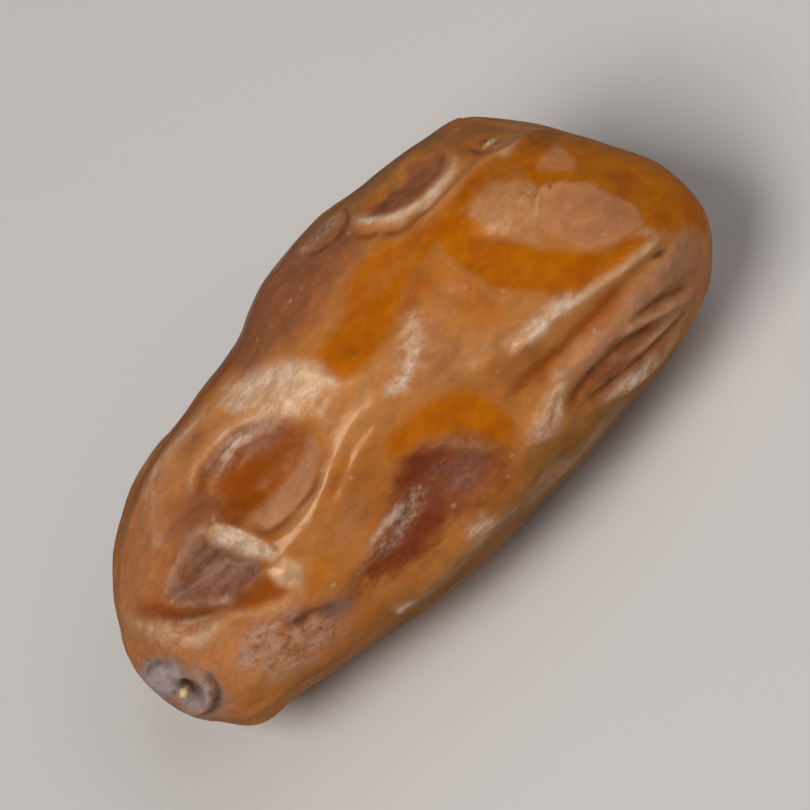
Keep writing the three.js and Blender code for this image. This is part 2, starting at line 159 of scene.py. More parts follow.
FOLDS = (
    # Shoulder crest above the big hollow, and the edge where its right slope falls away
    Fold(1.4, 0.3, ((-15.5, 6.2), (-14, 7.7), (-12, 8.5), (-8.5, 9), (-5.8, 8.7))),
    Fold(1.1, 0.32, ((-5.5, 8.7), (-3.2, 8), (-1.9, 6.6), (-1.4, 4.8))),
    # Inner rim of the big hollow, the crease under it and the small wrinkles that hang from it
    Fold(0.6, 0.16, ((-12.4, 6.6), (-10.2, 7.5), (-7.6, 7.5), (-5.4, 6.2)), 0.4),
    Fold(0.35, -0.2, ((-12, 6), (-10.3, 6.9), (-8, 7), (-6, 6)), 0.3),
    Fold(0.28, 0.12, ((-10.4, 6.1), (-9, 6.5), (-7.6, 6.4), (-6.2, 5.6)), 0.3),
    Fold(0.25, -0.09, ((-9.8, 5.7), (-8.6, 6.1), (-7.2, 5.9), (-6.2, 5.1)), 0.3),
    Fold(0.3, 0.1, ((-12.4, 5.9), (-11.6, 5), (-11.1, 3.8)), 0.3),
    # Foot of the big hollow's lower wall
    Fold(0.35, -0.22, ((-11, 2.8), (-10.3, 1.7), (-8.6, 1.4), (-6.8, 1.6), (-5.4, 2)), 0.3),
    # Sunken facet by the apex: its trench, outer rim and inner ridge
    Fold(0.8, -0.42, ((-18.9, 4.2), (-18.1, 2.3), (-16.4, 0.8), (-14, 0))),
    Fold(0.7, 0.3, ((-19.3, 3.4), (-18.4, 1.2), (-17.2, 0.3), (-15, -0.4), (-13.3, -1.6), (-11.7, -2),
        (-10.5, -1.2)), 0.4),
    Fold(0.7, 0.34, ((-12.3, 4.6), (-11.5, 3.3), (-11, 1.8), (-10.9, 0.5)), 0.3),
    Fold(0.9, -0.35, ((-15, -0.1), (-13.4, -0.6), (-12.2, -1.2))),
    Fold(0.9, 0.1, ((-11.6, 0.1), (-11.1, -0.6), (-11, -1.6))),
    # Ridges that fan out from the facet to the middle
    Fold(1.25, 0.4, ((-10.9, -1.2), (-8, 0.5), (-5.2, 1.7), (-2.8, 2.4), (0, 2.6), (3, 3.2))),
    Fold(0.8, 0.17, ((-10, -1.3), (-6.5, -0.1), (-4.4, 0.8), (-1, 1.3))),
    Fold(0.4, -0.18, ((-9, -0.5), (-5.4, 0.8), (-3.4, 1.6), (-0.8, 1.9)), 0.1),
    Fold(0.35, 0.1, ((-10, 0.9), (-8, 1.05), (-6, 1.5), (-4.4, 2.2)), 0.4),
    Fold(1.2, -0.3, ((-9.6, -2.7), (-6.5, -2), (-3.5, -0.5), (-0.5, 0.1))),
    # Lip of the lower hollow, the dip beyond it and small folds on its floor
    Fold(0.6, 0.08, ((-1.8, -0.9), (-0.4, -1.2), (1.1, -2.6), (1.9, -4), (2, -5.4)), 0.2),
    Fold(1.5, -0.3, ((-1.4, 0.1), (1, 0), (2.8, -1.4), (3.4, -3.4), (3, -5))),
    Fold(0.7, 0.25, ((3.8, 0), (4.6, -2.2), (4.4, -4))),
    Fold(1.2, 0.35, ((-9.4, -6.4), (-5, -6.9), (0, -7.1), (3.4, -6.9))),
    Fold(0.3, 0.1, ((-8.4, -3.7), (-6.6, -3.2), (-4.6, -3.1), (-3.2, -2.6)), 0.4),
    Fold(0.2, -0.08, ((-5.9, -3.7), (-5.2, -3.6), (-4.5, -3.8), (-3.6, -3.5)), 0.4),
    Fold(0.3, 0.12, ((-2.6, -2.8), (-1.6, -3.5), (-1.2, -4.6)), 0.3),
    Fold(0.3, 0.12, ((-1, -2.6), (-0.2, -3.4), (0.2, -4.6), (0, -5.4)), 0.3),
    # Crest towards the stem end, broad at first and then sharp, and the valley under it
    Fold(1.3, 0.4, ((2.8, 0), (5, -0.6), (8, -1.2), (11, -1.8))),
    Fold(0.5, 0.42, ((6, -1.15), (8.7, -1.4), (11.2, -1.9), (14.9, -2.65), (18, -2.85)), 0.6),
    Fold(0.6, -0.42, ((4, -2.9), (7.6, -3.25), (11, -3.4), (15, -3.4), (17.6, -3.5)), 0.3),
    # Wrinkles of the lower flank
    Fold(0.8, 0.3, ((7.4, -4.5), (10, -4.4), (13, -4.3), (16, -4), (18.7, -3.9))),
    Fold(0.4, -0.24, ((6, -5.9), (7.6, -5.6), (9.4, -5.4), (11.2, -5.45), (12.6, -5.9), (14.4, -6.3)), 0.3),
    Fold(0.3, -0.24, ((12.2, -4.7), (13.6, -5.05), (14.8, -5.3), (15.5, -5.7), (17.4, -6.2)), 0.4),
    Fold(0.35, -0.26, ((6.6, -6.3), (8.4, -6.5), (10, -6.7), (12, -6.9), (14, -6.9), (16.4, -7)), 0.4),
    Fold(0.34, 0.24, ((11.2, -4.8), (12.8, -5.3), (14.5, -5.9), (17, -6.6)), 0.3),
    Fold(0.34, 0.2, ((9.8, -6), (11.2, -6.2), (13, -6.5), (15.8, -6.7)), 0.3),
    Fold(0.3, 0.16, ((13.8, -4.5), (15.8, -5), (18, -5.7)), 0.4),
    Fold(0.5, 0.26, ((8.5, -7.3), (11.2, -7.7), (15, -7.4)), 0.3),
    Fold(0.3, 0.15, ((7.9, -4.9), (8.7, -5.7), (9, -6.6)), 0.3),
    Fold(0.3, 0.13, ((9.8, -4.8), (10.5, -5.6), (11.2, -6.4)), 0.3),
    Fold(0.9, 0.3, ((2.6, -5.8), (4.4, -5.2), (6, -4.7), (7.3, -4.1))),
    Fold(0.3, 0.16, ((2.2, -6), (3.4, -5.4), (4.2, -5)), 0.4),
    Fold(0.25, -0.12, ((4.8, -5.9), (5.8, -5.2), (6.9, -4.7)), 0.3),
    # Edge and trough to the left of the pad, and the dip beyond it
    Fold(0.8, 0.12, ((7.6, 6.6), (7.5, 4), (7.9, 1.8), (8.9, 0.4)), 0.3),
    Fold(1.8, -0.42, ((9.2, 6.6), (9.5, 3.7), (10.8, 1.2), (12.5, -0.5), (14.8, -1.6), (17, -2.1))),
    Fold(1.4, -0.2, ((15.6, 5.8), (17, 4.4), (18.1, 2), (18.5, -0.5), (18.1, -2))),
    Fold(2.2, -0.8, ((11.6, 10.8), (14, 9.8), (16.4, 8.2), (18, 6.2), (19.2, 3.4))),
    Fold(0.25, 0.05, ((12.6, 2.5), (13.3, 3.3), (14.5, 4), (14.9, 3.9)), 0.4),
    # Raised ring near the top edge, with a groove outside it
    Fold(0.28, 0.17, ((5.9, 11.1), (6.1, 10.2), (7, 9.2), (8.4, 8.6), (10, 8.35), (11.8, 8.4), (12.6, 9),
        (12.5, 9.8)), 0.3),
    Fold(0.36, -0.18, ((5.1, 10.2), (5.9, 9.1), (7.4, 8.2), (9.4, 7.95), (12.6, 7.9), (13.3, 8.6)), 0.3),
    Fold(0.35, 0.16, ((7, 7.75), (10, 7.55), (13, 7.45), (15, 6.8), (16.6, 6.8)), 0.3),
    Fold(0.3, -0.24, ((13.4, 9.4), (13.5, 8.4), (13.9, 7.6)), 0.3),
    Fold(0.3, -0.22, ((7, 10.5), (7.7, 10.4), (8.3, 10.3)), 0.3),
    Fold(0.3, 0.22, ((13.9, 8.3), (14.5, 8.25), (15.2, 8.2)), 0.4),
    # Apex scar: a cup with a crescent rim, a lobe above it and a groove outside
    Fold(0.28, 0.3, ((-19.9, -0.5), (-19.25, -1), (-19.25, -1.8), (-19.8, -2.5), (-20.7, -2.5), (-21.2, -1.9),
        (-21.1, -1.3)), 0.4),
    Fold(0.28, -0.2, ((-18.8, -0.7), (-18.8, -1.8), (-19.2, -2.7), (-20.1, -3.1), (-21, -2.9)), 0.3),
    Fold(0.25, 0.15, ((-18.5, -1), (-18.4, -2), (-18.8, -2.9), (-19.6, -3.5)), 0.3),
    Fold(0.22, -0.14, ((-21.6, 1.1), (-20.9, 1.2), (-20.2, 0.9), (-19.8, 0.3), (-20, -0.4)), 0.4),
    # Underside: long folds that spread and join
    Fold(0.85, 0.65, ((-17, 3), (-10, 5), (-2, 5.6), (6, 6.4), (13, 5)), side=UNDER),
    Fold(0.7, -0.5, ((-14, 2.4), (-8, 3.4), (0, 4), (8, 4.6)), side=UNDER),
    Fold(0.75, 0.55, ((-18, 0.2), (-11, 1.5), (-4, 1.2), (4, 2.4), (12, 1.6), (17, 0)), side=UNDER),
    Fold(0.7, -0.45, ((-6, 7.6), (0, 8.2), (6, 8.6), (11, 8)), side=UNDER),
    Fold(0.7, 0.5, ((-12, 7.4), (-5, 8.9), (2, 10), (9, 9.9)), side=UNDER),
    Fold(0.6, 0.3, ((-16, -2.6), (-9, -2), (-2, -2.6), (6, -2), (15, -2.4)), side=UNDER),
    Fold(0.7, -0.4, ((3, 0.6), (9, 0.2), (15, -0.6)), side=UNDER),
)

HOLLOWS = (
    # Big hollow in the shoulder
    Hollow(0.9, 2.6, ((-12.4, 6), (-10.4, 7.1), (-8, 7.3), (-5.6, 6.5), (-4.4, 5), (-4.6, 3.2), (-6.4, 1.8),
        (-8.5, 1.3), (-10.5, 1.6), (-11.3, 3), (-12, 4.6))),
    Hollow(0.95, 1.9, ((-11, 4.9), (-9.4, 5.8), (-7.4, 5.6), (-5.6, 4.8), (-4.9, 3.4), (-6.4, 2.2), (-8.5, 1.7),
        (-10.3, 2))),
    # Sunken facet by the apex
    Hollow(0.35, 1.2, ((-17.4, 3.1), (-15, 4.1), (-12.3, 4.3), (-11.3, 0.8), (-11.8, 0.3), (-13.6, 0.3),
        (-15.8, 1.4)), straight=True),
    Hollow(0.75, 2.6, ((-16.6, 3), (-14.6, 4), (-12.2, 4.3), (-11.3, 0.8), (-11.8, 0.2), (-13.6, 0.2),
        (-15.2, 1.4)), straight=True),
    # Lower hollow
    Hollow(1.0, 2.8, ((-9.6, -4.6), (-8.6, -3.4), (-6, -2.8), (-4.2, -1.6), (-2.4, -0.9), (-0.8, -1.1), (0.8, -2.3),
        (1.6, -3.6), (1.8, -5), (0.6, -6.1), (-2, -6.1), (-5, -6), (-7.6, -5.6))),
    # Wide shallow dip over the middle
    Hollow(0.45, 2.2, ((-1.4, 6.4), (0.4, 4.6), (5, 4.9), (7.6, 5.6), (10, 7), (4, 8.2), (0, 8.4))),
    # Pad by the stem end
    Hollow(-0.28, 2, ((10.4, 6.1), (12.6, 6.4), (14.8, 4.6), (16.4, 3), (17.2, 0), (16.8, -1.2), (15, -1.3),
        (13.5, -0.2), (11.9, 1.8), (10.8, 4))),
    # Pits near the top edge, and a bubble beside them
    Hollow(0.35, 0.6, ((6.9, 9.9), (9, 9), (11.7, 9), (11.8, 9.8), (9.6, 10.7), (7.4, 10.8))),
    Hollow(0.45, 0.7, ((13.4, 8.9), (13.9, 7.5), (15.4, 6.9), (16.8, 7.1), (16.2, 8), (14.8, 8.9))),
    Hollow(-0.22, 0.5, ((9.2, 10.6), (10.4, 10.2), (11.6, 10.4), (11.4, 11), (9.8, 11.2))),
    # Low blister on the top edge
    Hollow(-0.2, 0.5, ((1.8, 11.9), (2.6, 11), (4.2, 10.6), (5.5, 10.9), (6, 11.6), (4, 12.2))),
    # Dark hole at the end of the crest's valley
    Hollow(0.12, 0.25, ((16, -3.4), (16.5, -3.3), (16.8, -3.5), (16.4, -3.65))),
    # Apex scar: the cup, its pit and the swollen lobe above
    Hollow(0.3, 0.5, ((-21, -1), (-20.3, -0.4), (-19.6, -0.8), (-19.5, -1.7), (-20, -2.3), (-20.8, -2.2))),
    Hollow(0.35, 0.3, ((-20.6, -0.8), (-20.2, -0.5), (-20, -1.1), (-20.2, -1.6), (-20.5, -1.4))),
    Hollow(-0.2, 0.5, ((-21.7, 0.9), (-21, 1.3), (-20.1, 0.9), (-19.9, 0.1), (-20.6, -0.7), (-21.5, -0.4))),
    Hollow(-0.12, 0.25, ((-20.95, -1.2), (-20.75, -1), (-20.55, -1.2), (-20.75, -1.4))),
    # Underside: three hollows where the skin clings
    Hollow(1, 1.4, ((-9, 4), (-4, 4.4), (-2, 3), (-5, 1.9), (-10, 2)), UNDER),
    Hollow(0.8, 1.3, ((5, 5), (11, 4.6), (13, 3), (9, 2.4), (5, 3.2)), UNDER),
    Hollow(0.7, 1.2, ((-15, 1.6), (-12, 2.4), (-10, 0.6), (-13, -0.8), (-16, -0.2)), UNDER),
)

PATCHES = (
    # Amber where the skin clings: trough by the pad, upper middle, stem end cap, the crescent round the
    # lower hollow, the valley under the central ridge, the apex, and two places on the underside
    Patch(AMBER, 1, 0.5, ((8.3, 6.4), (10.2, 6.4), (10.8, 4), (11.8, 1.8), (13, 0.3), (14.4, -1.1), (16, -1.7),
        (17.2, -2.5), (15.8, -2.4), (13, -2), (11.2, -1.2), (9.9, 0.2), (8.5, 2.1), (8.1, 4))),
    Patch(AMBER, 1, 0.9, ((-1.3, 6.6), (1.2, 7.2), (3.6, 8.4), (5.6, 8.3), (8, 7.4), (13, 7.2), (17.8, 6.6),
        (18, 5), (16.2, 5.3), (14.4, 5.6), (12.6, 6.5), (10.2, 6.4), (8.3, 6.2), (5.3, 5.9), (3, 4.8), (0.8, 4.2),
        (-1.2, 4.6))),
    Patch(AMBER, 1, 0.8, ((14.4, 5.4), (17.4, 5.4), (19, 3.5), (20.3, 1.2), (20.9, -1.1), (20.5, -3.6), (19, -4.4),
        (18, -3.2), (16.8, -1.8), (15.6, 0.7), (14.6, 3))),
    Patch(AMBER, 0.95, 0.8, ((-2.4, 0.2), (-0.1, 0.5), (1.9, 0), (3.3, -0.9), (3.8, -2.9), (3.6, -4.3), (2.6, -4.9),
        (2.1, -4.3), (1.7, -2.9), (0.5, -1.6), (-0.8, -0.9), (-2.2, -0.7))),
    Patch(AMBER, 0.2, 1, ((-9.9, -2), (-8, -1.2), (-5.2, -0.3), (-3, 0.7), (-1, 0.6), (-1.6, -0.8), (-3, -1),
        (-5.2, -1.9), (-8, -2.8), (-9.6, -2.9))),
    Patch(AMBER, 0.2, 1.2, ((-18.6, -3.6), (-17, -4.6), (-13.5, -5.2), (-11, -5.4), (-9.6, -5.6), (-9, -6.6),
        (-12, -6.9), (-18, -6.2))),
    Patch(AMBER, 0.5, 1.4, ((4.2, 5.2), (7.6, 5.8), (7.6, 3.6), (8, 1.6), (6.8, 0.6), (5, 1.4), (4.4, 3.2))),
    Patch(AMBER, 0.5, 1, ((-9.2, -1.2), (-9.4, -2.4), (-11.6, -3), (-12, -2.4), (-10.4, -1.9))),
    Patch(AMBER, 0.8, 1.2, ((3, 5.4), (11, 5), (14, 3), (9, 2), (4, 2.8)), UNDER),
    Patch(AMBER, 0.7, 1.2, ((-8, 8), (0, 8.8), (8, 9.2), (8, 7.6), (0, 7), (-7, 6.6)), UNDER),
    # Olive: painted shade and painted reflection of neighbouring fruit low down, and an olive tone over and
    # beside the ring
    Patch(OLIVE, 0.6, 1.6, ((-9, -6.9), (-4, -7), (3, -6.6), (9, -7.4), (14, -8), (9, -9.4), (-9, -9.4))),
    Patch(OLIVE, 0.3, 1, ((3.2, -6.2), (6, -6.2), (9, -7.2), (7, -8.4), (3, -8))),
    Patch(OLIVE, 0.5, 1.6, ((6.6, 10.9), (9, 10.6), (12, 10.2), (13, 9.6), (12.6, 11), (7, 11.8))),
    Patch(OLIVE, 0.3, 1, ((12.5, 7.2), (17.5, 6.4), (17, 5.2), (13, 6.2))),
    # Maroon on the floors of the hollows and the facet and in the pit behind the ring, partly the skin's own
    # colour and partly painted shade in these sunken places; painted shade on the brown upper flank; and a
    # faint darkening over the apex end
    Patch(MAROON, 0.8, 2.2, ((-9.4, -4.3), (-8, -3.6), (-5.5, -3.1), (-3.6, -1.8), (-2, -1.3), (-0.4, -1.8),
        (1, -2.9), (1.6, -4.4), (1.3, -5.6), (0.2, -6), (-2.5, -5.7), (-5, -5.7), (-7.6, -5.3))),
    Patch(MAROON, 0.7, 0.9, ((-3.4, -1.9), (-2, -1.2), (-0.8, -1.6), (0.1, -2.5), (-1.2, -3), (-2.6, -2.6))),
    Patch(MAROON, 0.7, 0.8, ((-8.2, -4.4), (-5.4, -4.2), (-3.4, -4), (-2.2, -4.6), (-3.6, -5.6), (-6.6, -5.5))),
    Patch(MAROON, 0.42, 1.6, ((-13.6, 5.4), (-12, 6.4), (-10, 7), (-7.5, 6.9), (-5.4, 5.9), (-4.8, 4.9), (-5.3, 4),
        (-7, 3.4), (-9, 3), (-11.2, 3.2), (-12.6, 4.6))),
    Patch(MAROON, 0.7, 0.9, ((-17, 3), (-16, 3.4), (-15, 2.4), (-13.4, 1), (-14, 0.4), (-15.8, 0.9), (-16.8, 1.8))),
    Patch(MAROON, 0.4, 2.4, ((-6, 9.4), (-4, 10.8), (0, 12), (4, 11.2), (5, 9.8), (3, 9.1), (0, 8.8), (-3, 8.8))),
    Patch(MAROON, 0.7, 0.7, ((7.1, 10), (9, 9.1), (11.6, 9), (11.8, 10), (9.6, 10.3), (7.8, 10.4))),
    Patch(MAROON, 0.25, 2, ((-22, 5), (-19, 7), (-15, 9), (-12.6, 8.2), (-15, 5), (-18, 3), (-17.4, 0.4), (-15, -1),
        (-17, -3.6), (-20, -4.6), (-22, -2))),
    Patch(MAROON, 0.8, 1, ((-9, 4), (-4, 4.4), (-2, 3), (-5, 1.9), (-10, 2)), UNDER),
    # Deep red-orange: a painted glow and shade in the big hollow, and painted shade over the upper middle
    # and in the pocket by the facet
    Patch(EMBER, 0.3, 1.4, ((-1, 5.8), (1, 7.2), (4, 8.3), (8, 7.6), (13, 7.1), (17.6, 6.4), (17, 5.4), (13, 6.2),
        (9, 6.4), (5, 6.2), (1.4, 5))),
    Patch(EMBER, 1, 1.5, ((-10.6, 5), (-9.9, 6), (-8.4, 6), (-7.2, 5), (-7.6, 3.8), (-8.9, 3.2), (-10.3, 3.7))),
    Patch(EMBER, 0.5, 1.6, ((-12, 4.4), (-10, 5.6), (-7, 5.6), (-5, 4.8), (-5.4, 3.8), (-8, 2.9), (-11, 3.2))),
    Patch(EMBER, 1, 0.6, ((-15.2, 0.1), (-13.6, 0.4), (-12.2, 0), (-11.9, -1.3), (-13, -1.2), (-14.3, -0.6))),
    # Red-brown: painted shade in the furrow of the lower flank, and a darker veil above the facet
    Patch(RUSSET, 0.6, 1.3, ((6.4, -5.4), (8.4, -5.1), (10, -5.5), (12.4, -5.7), (13.4, -6.3), (11.4, -6.5),
        (9.4, -6.7), (6.8, -6.1))),
    Patch(RUSSET, 0.3, 1, ((-13.4, 5.2), (-12, 6.2), (-11.2, 5.4), (-11.2, 3.4), (-12, 3.6))),
    # Loose, dull pinkish skin, partly a painted satin sheen where it faces the light: pad, lower flank, by
    # the pits, walls of the big hollow, apex
    Patch(LOOSE, 1, 0.3, ((12.7, 2.4), (14.5, 4), (15.5, 3.4), (16.5, 2.2), (17.4, -0.6), (17.1, -1.6),
        (15.3, -1.3), (13.9, -0.4), (13, 1.4)), straight=True),
    Patch(LOOSE, 0.65, 0.7, ((7.6, -3.9), (11.2, -3.8), (15.8, -3.6), (18.6, -3.4), (19, -5), (16.7, -6.8),
        (13.3, -7.2), (9.4, -6.5), (7.6, -5.2))),
    Patch(LOOSE, 0.8, 0.4, ((14, 7.5), (15.3, 7.9), (16.7, 7.1), (15.8, 6.8), (14.4, 7))),
    Patch(LOOSE, 0.8, 0.5, ((15.3, 5), (16.9, 5.2), (17.1, 3.9), (16.5, 3.5), (15.5, 4.4))),
    Patch(LOOSE, 0.9, 0.9, ((-10.6, 3.3), (-6.6, 3.5), (-4.8, 4), (-5.7, 2.3), (-8.4, 1.6), (-10.4, 1.8))),
    Patch(LOOSE, 0.45, 1.4, ((-21.1, 4), (-19.3, 5.1), (-19.1, 2.9), (-18, 0.6), (-15, -0.6), (-16.6, -3),
        (-18.9, -4.4), (-20.8, -3.6), (-21.6, -1), (-21.4, 1.7))),
    Patch(LOOSE, 0.8, 1.2, ((-17.4, -2), (-15.4, -1.1), (-13.4, -1.8), (-12, -2.6), (-10.6, -4), (-11.4, -5.2),
        (-14, -5.4), (-16.6, -4.4))),
    Patch(LOOSE, 0.55, 1.6, ((-19.6, 5), (-17.6, 6.8), (-13, 8.8), (-8, 9.2), (-6.6, 7.6), (-10, 7.8), (-13, 6.6),
        (-15.6, 5), (-18, 4.2))),
    # Dull mauve skin, painted shade where it lies in sunken and turned-away places: pad and flank, the pit
    # behind the ring, facet and the veil above it, top of the big hollow, upper flank, low on the right, right
    # half of the lower hollow
    Patch(MAUVE, 0.25, 1, ((13.4, 2.2), (14.6, 3), (16, 1.6), (16.8, -0.6), (15.4, -0.8), (14.2, 0.4))),
    Patch(MAUVE, 0.4, 1, ((7.6, -4), (11.2, -3.9), (15.8, -3.8), (18.6, -3.6), (18.8, -5), (16.4, -6.6), (13.3, -7),
        (9.4, -6.3), (7.6, -5.2))),
    Patch(MAUVE, 0.7, 0.6, ((7.1, 10), (9, 9.1), (11.6, 9), (11.8, 10), (9.6, 10.3), (7.8, 10.4))),
    Patch(MAUVE, 0.35, 1, ((-17, -2.2), (-15.4, -1.4), (-13.4, -2), (-12, -3), (-12.4, -4.6), (-15.6, -4.2))),
    Patch(MAUVE, 0.95, 0.6, ((-17.1, 3.1), (-15.6, 4), (-13.2, 4.4), (-12.8, 3.4), (-12.1, 0.6), (-13.4, 0.3),
        (-15.7, 1.2), (-16.8, 2))),
    Patch(MAUVE, 0.65, 1, ((-15.2, 4.6), (-13.9, 6), (-12.5, 6.6), (-11.2, 6.2), (-11.4, 4.6), (-12.4, 4.2),
        (-14.8, 4.3))),
    Patch(MAUVE, 0.22, 1.6, ((-21, 3), (-18.6, 6), (-15, 8.4), (-9, 8.6), (-11, 7.6), (-14, 5.8), (-17.6, 4),
        (-19, 2.2))),
    Patch(MAUVE, 0.3, 1, ((-9.4, 2.6), (-7.4, 3.4), (-6, 4.6), (-4.8, 4.6), (-5.2, 2.8), (-7, 1.9), (-9, 1.8))),
    Patch(MAUVE, 0.75, 0.9, ((-10.6, 6.9), (-8.6, 7.3), (-6.6, 6.9), (-5, 5.6), (-5.6, 4.8), (-6.8, 5.3), (-8.4, 6),
        (-10, 6))),
    Patch(MAUVE, 0.7, 2, ((-5, 9.2), (-3.6, 10.9), (0, 12.2), (4, 11.4), (5.4, 9.8), (3.4, 8.7), (0, 8.4),
        (-3, 8.6))),
    Patch(MAUVE, 0.5, 0.8, ((13, -4.1), (16, -3.9), (18.4, -4.2), (17, -5.8), (14.6, -5.2))),
    Patch(MAUVE, 0.6, 1, ((-0.8, -3), (0.6, -3.4), (1.2, -4.6), (0.6, -5.6), (-1, -5.4), (-1.6, -4.2))),
    # Pale skin, mostly a painted highlight and sheen on slopes that face the light: walls of the big hollow
    # and the facet, shoulder, pad's left part, knot, flank, ledge, saddle, and the underside
    Patch(PALE, 0.3, 1, ((-10.2, 3), (-6.6, 3.2), (-5, 3.6), (-5.9, 2.4), (-8.4, 1.8), (-10.2, 2))),
    Patch(PALE, 0.85, 1.2, ((-7, 8.6), (-5.7, 9.2), (-4.3, 8.5), (-3, 7.8), (-1.9, 7), (-1.5, 5), (-2.6, 5.2),
        (-4.3, 5), (-5, 6), (-6.4, 7.2))),
    Patch(PALE, 1, 0.4, ((-13.2, 4), (-12.2, 4.3), (-11.4, 2.9), (-10.9, 0.7), (-11.5, 0.4), (-12.4, 1.5),
        (-13, 2.6))),
    Patch(PALE, 0.35, 0.6, ((10.5, 6), (12.7, 6.2), (14.3, 4.5), (13.2, 3.3), (12.4, 2.2), (12, 1.6), (11.3, 3.5),
        (10.8, 4.8)), straight=True),
    Patch(PALE, 0.9, 0.6, ((-12.1, -0.1), (-10.8, 0), (-10.4, -1), (-11.3, -1.7), (-12, -1.2))),
    Patch(PALE, 0.3, 1.2, ((7.8, -3.9), (11.2, -3.8), (15.8, -3.7), (18.4, -3.8), (17.6, -5), (14, -4.8),
        (10.8, -4.9), (8, -4.8))),
    Patch(PALE, 0.3, 0.7, ((3.4, -5.2), (5.3, -4.5), (7.1, -3.8), (7.7, -4.4), (6, -5.7), (4.9, -6.3))),
    Patch(PALE, 0.16, 1.6, ((-4, 1.8), (0, 1.2), (4, -0.6), (8, -0.8), (6.4, 1.2), (5.4, 4.2), (2, 4), (-4, 3.6))),
    Patch(PALE, 0.5, 1, ((-13, 3.4), (-8, 5.2), (-2, 5.8), (-2, 5), (-8, 4.2)), UNDER),
    # Painted highlights on crinkled skin: shoulder, wall of the facet, ledge, saddle
    Patch(GLINT, 0.32, 1, ((-7, 8.6), (-5.9, 9.2), (-4.6, 8.5), (-3, 7.8), (-1.9, 7), (-1.6, 5.2), (-2.6, 5.4),
        (-4.3, 5.4), (-5.4, 6.6), (-6.6, 7.6))),
    Patch(GLINT, 1, 0.4, ((-12.9, 3.6), (-12.2, 4.1), (-11.4, 2.9), (-11, 1.1), (-11.5, 0.7), (-12.2, 1.5),
        (-12.6, 2.6))),
    Patch(GLINT, 0.5, 0.7, ((3.6, -5.2), (5.3, -4.6), (7.1, -3.9), (7.6, -4.4), (6, -5.6), (4.9, -6.2))),
    Patch(GLINT, 0.3, 0.8, ((1.6, 2.2), (3, 2.6), (4.5, 4.2), (3.6, 4.3), (2, 3.4))),
    # Grey film in flakes: lower hollow, apex, facet, top of the big hollow, and the underside
    Patch(BLOOM, 0.85, 0.8, ((-8.6, -3.7), (-6.6, -3), (-4.3, -2.7), (-2.8, -2.8), (-3, -3.8), (-5.2, -4.4),
        (-6.8, -4.3))),
    Patch(BLOOM, 0.16, 1, ((-2.2, -2.6), (-0.6, -2.4), (1, -3.8), (0.8, -5.2), (-1.4, -5.6), (-3, -4.6))),
    Patch(BLOOM, 0.7, 1, ((-17, -2.1), (-15.4, -1.2), (-13.6, -1.9), (-12.6, -2.4), (-12.8, -3.2), (-11.6, -3.8),
        (-11, -4.8), (-12.4, -5.3), (-15.7, -4.6), (-16.8, -3.3))),
    Patch(BLOOM, 0.3, 0.8, ((-17, 3), (-15.7, 4), (-12.9, 4.2), (-12.8, 2.9), (-12.2, 1), (-13.4, 0.5),
        (-15.7, 1.2), (-16.6, 2))),
    Patch(BLOOM, 0.4, 0.8, ((-10, 7), (-7, 7), (-5.4, 5.8), (-6.6, 5.6), (-8.4, 6), (-9.8, 6.2))),
    Patch(BLOOM, 0.5, 1, ((-15, 1.6), (-12, 2.4), (-10, 0.6), (-13, -0.8), (-16, -0.2)), UNDER),
    # Painted shade in dark places: pit of the apex scar, hole by the crest, dimple of the pad, facet, small pit
    Patch(UMBER, 1, 0.3, ((-20.6, -0.8), (-20.2, -0.5), (-19.95, -1.1), (-20.2, -1.7), (-20.5, -1.4))),
    Patch(UMBER, 0.85, 0.25, ((16.1, -3.4), (16.5, -3.3), (16.8, -3.5), (16.4, -3.65))),
    Patch(UMBER, 0.6, 0.15, ((14.6, 3.75), (14.75, 3.85), (14.9, 3.7), (14.75, 3.6))),
    Patch(UMBER, 0.3, 1, ((-17.1, 3.1), (-15.4, 4), (-13.4, 4.3), (-12.6, 2), (-12.2, 0.4), (-13.6, 0.3),
        (-15.8, 1.2))),
    Patch(UMBER, 0.62, 0.8, ((-20.4, -0.8), (-19.7, -0.9), (-19.6, -1.7), (-20.1, -2.1), (-20.6, -1.7))),
    Patch(UMBER, 0.5, 0.4, ((14.2, 8), (15, 7.9), (15.2, 8.3), (14.2, 8.7))),
    # Crust of the apex scar, its two lilac lobes, and cream specks in it and in the small pit
    Patch(SCAR, 1, 0.7, ((-22, 1.5), (-20.9, 1.9), (-19.7, 1.2), (-19.2, 0), (-18.6, -1), (-18.5, -2.6),
        (-19.6, -3.6), (-21, -3.3), (-21.9, -2), (-22.2, 0))),
    Patch(LILAC, 1, 0.5, ((-22, 1.2), (-20.9, 1.5), (-20.1, 1), (-19.8, 0.1), (-20.5, -0.7), (-21.4, -0.6),
        (-22, 0))),
    Patch(LILAC, 0.75, 0.4, ((-21, -1), (-20.3, -0.5), (-19.5, -0.8), (-19.3, -1.8), (-19.9, -2.5), (-20.9, -2.3))),
    Patch(CREAM, 1, 0.15, ((-20.95, -1.2), (-20.75, -0.98), (-20.55, -1.2), (-20.75, -1.42))),
    Patch(CREAM, 0.9, 0.25, ((14.1, 8.3), (14.8, 8.1), (15.2, 8.2), (14.8, 8.4))),
    # Places that give back no clear highlight: low in the big hollow, and the pocket
    Patch(MATT, 1, 1, ((-9.4, 3.4), (-7.6, 4.2), (-6.2, 4.6), (-5, 4.4), (-5.4, 3), (-6.8, 2.3), (-8.8, 2.3))),
    Patch(MATT, 1, 0.6, ((-15.2, 0.1), (-13.6, 0.4), (-12.2, 0), (-11.9, -1.3), (-13, -1.4), (-14.3, -0.9))),
)

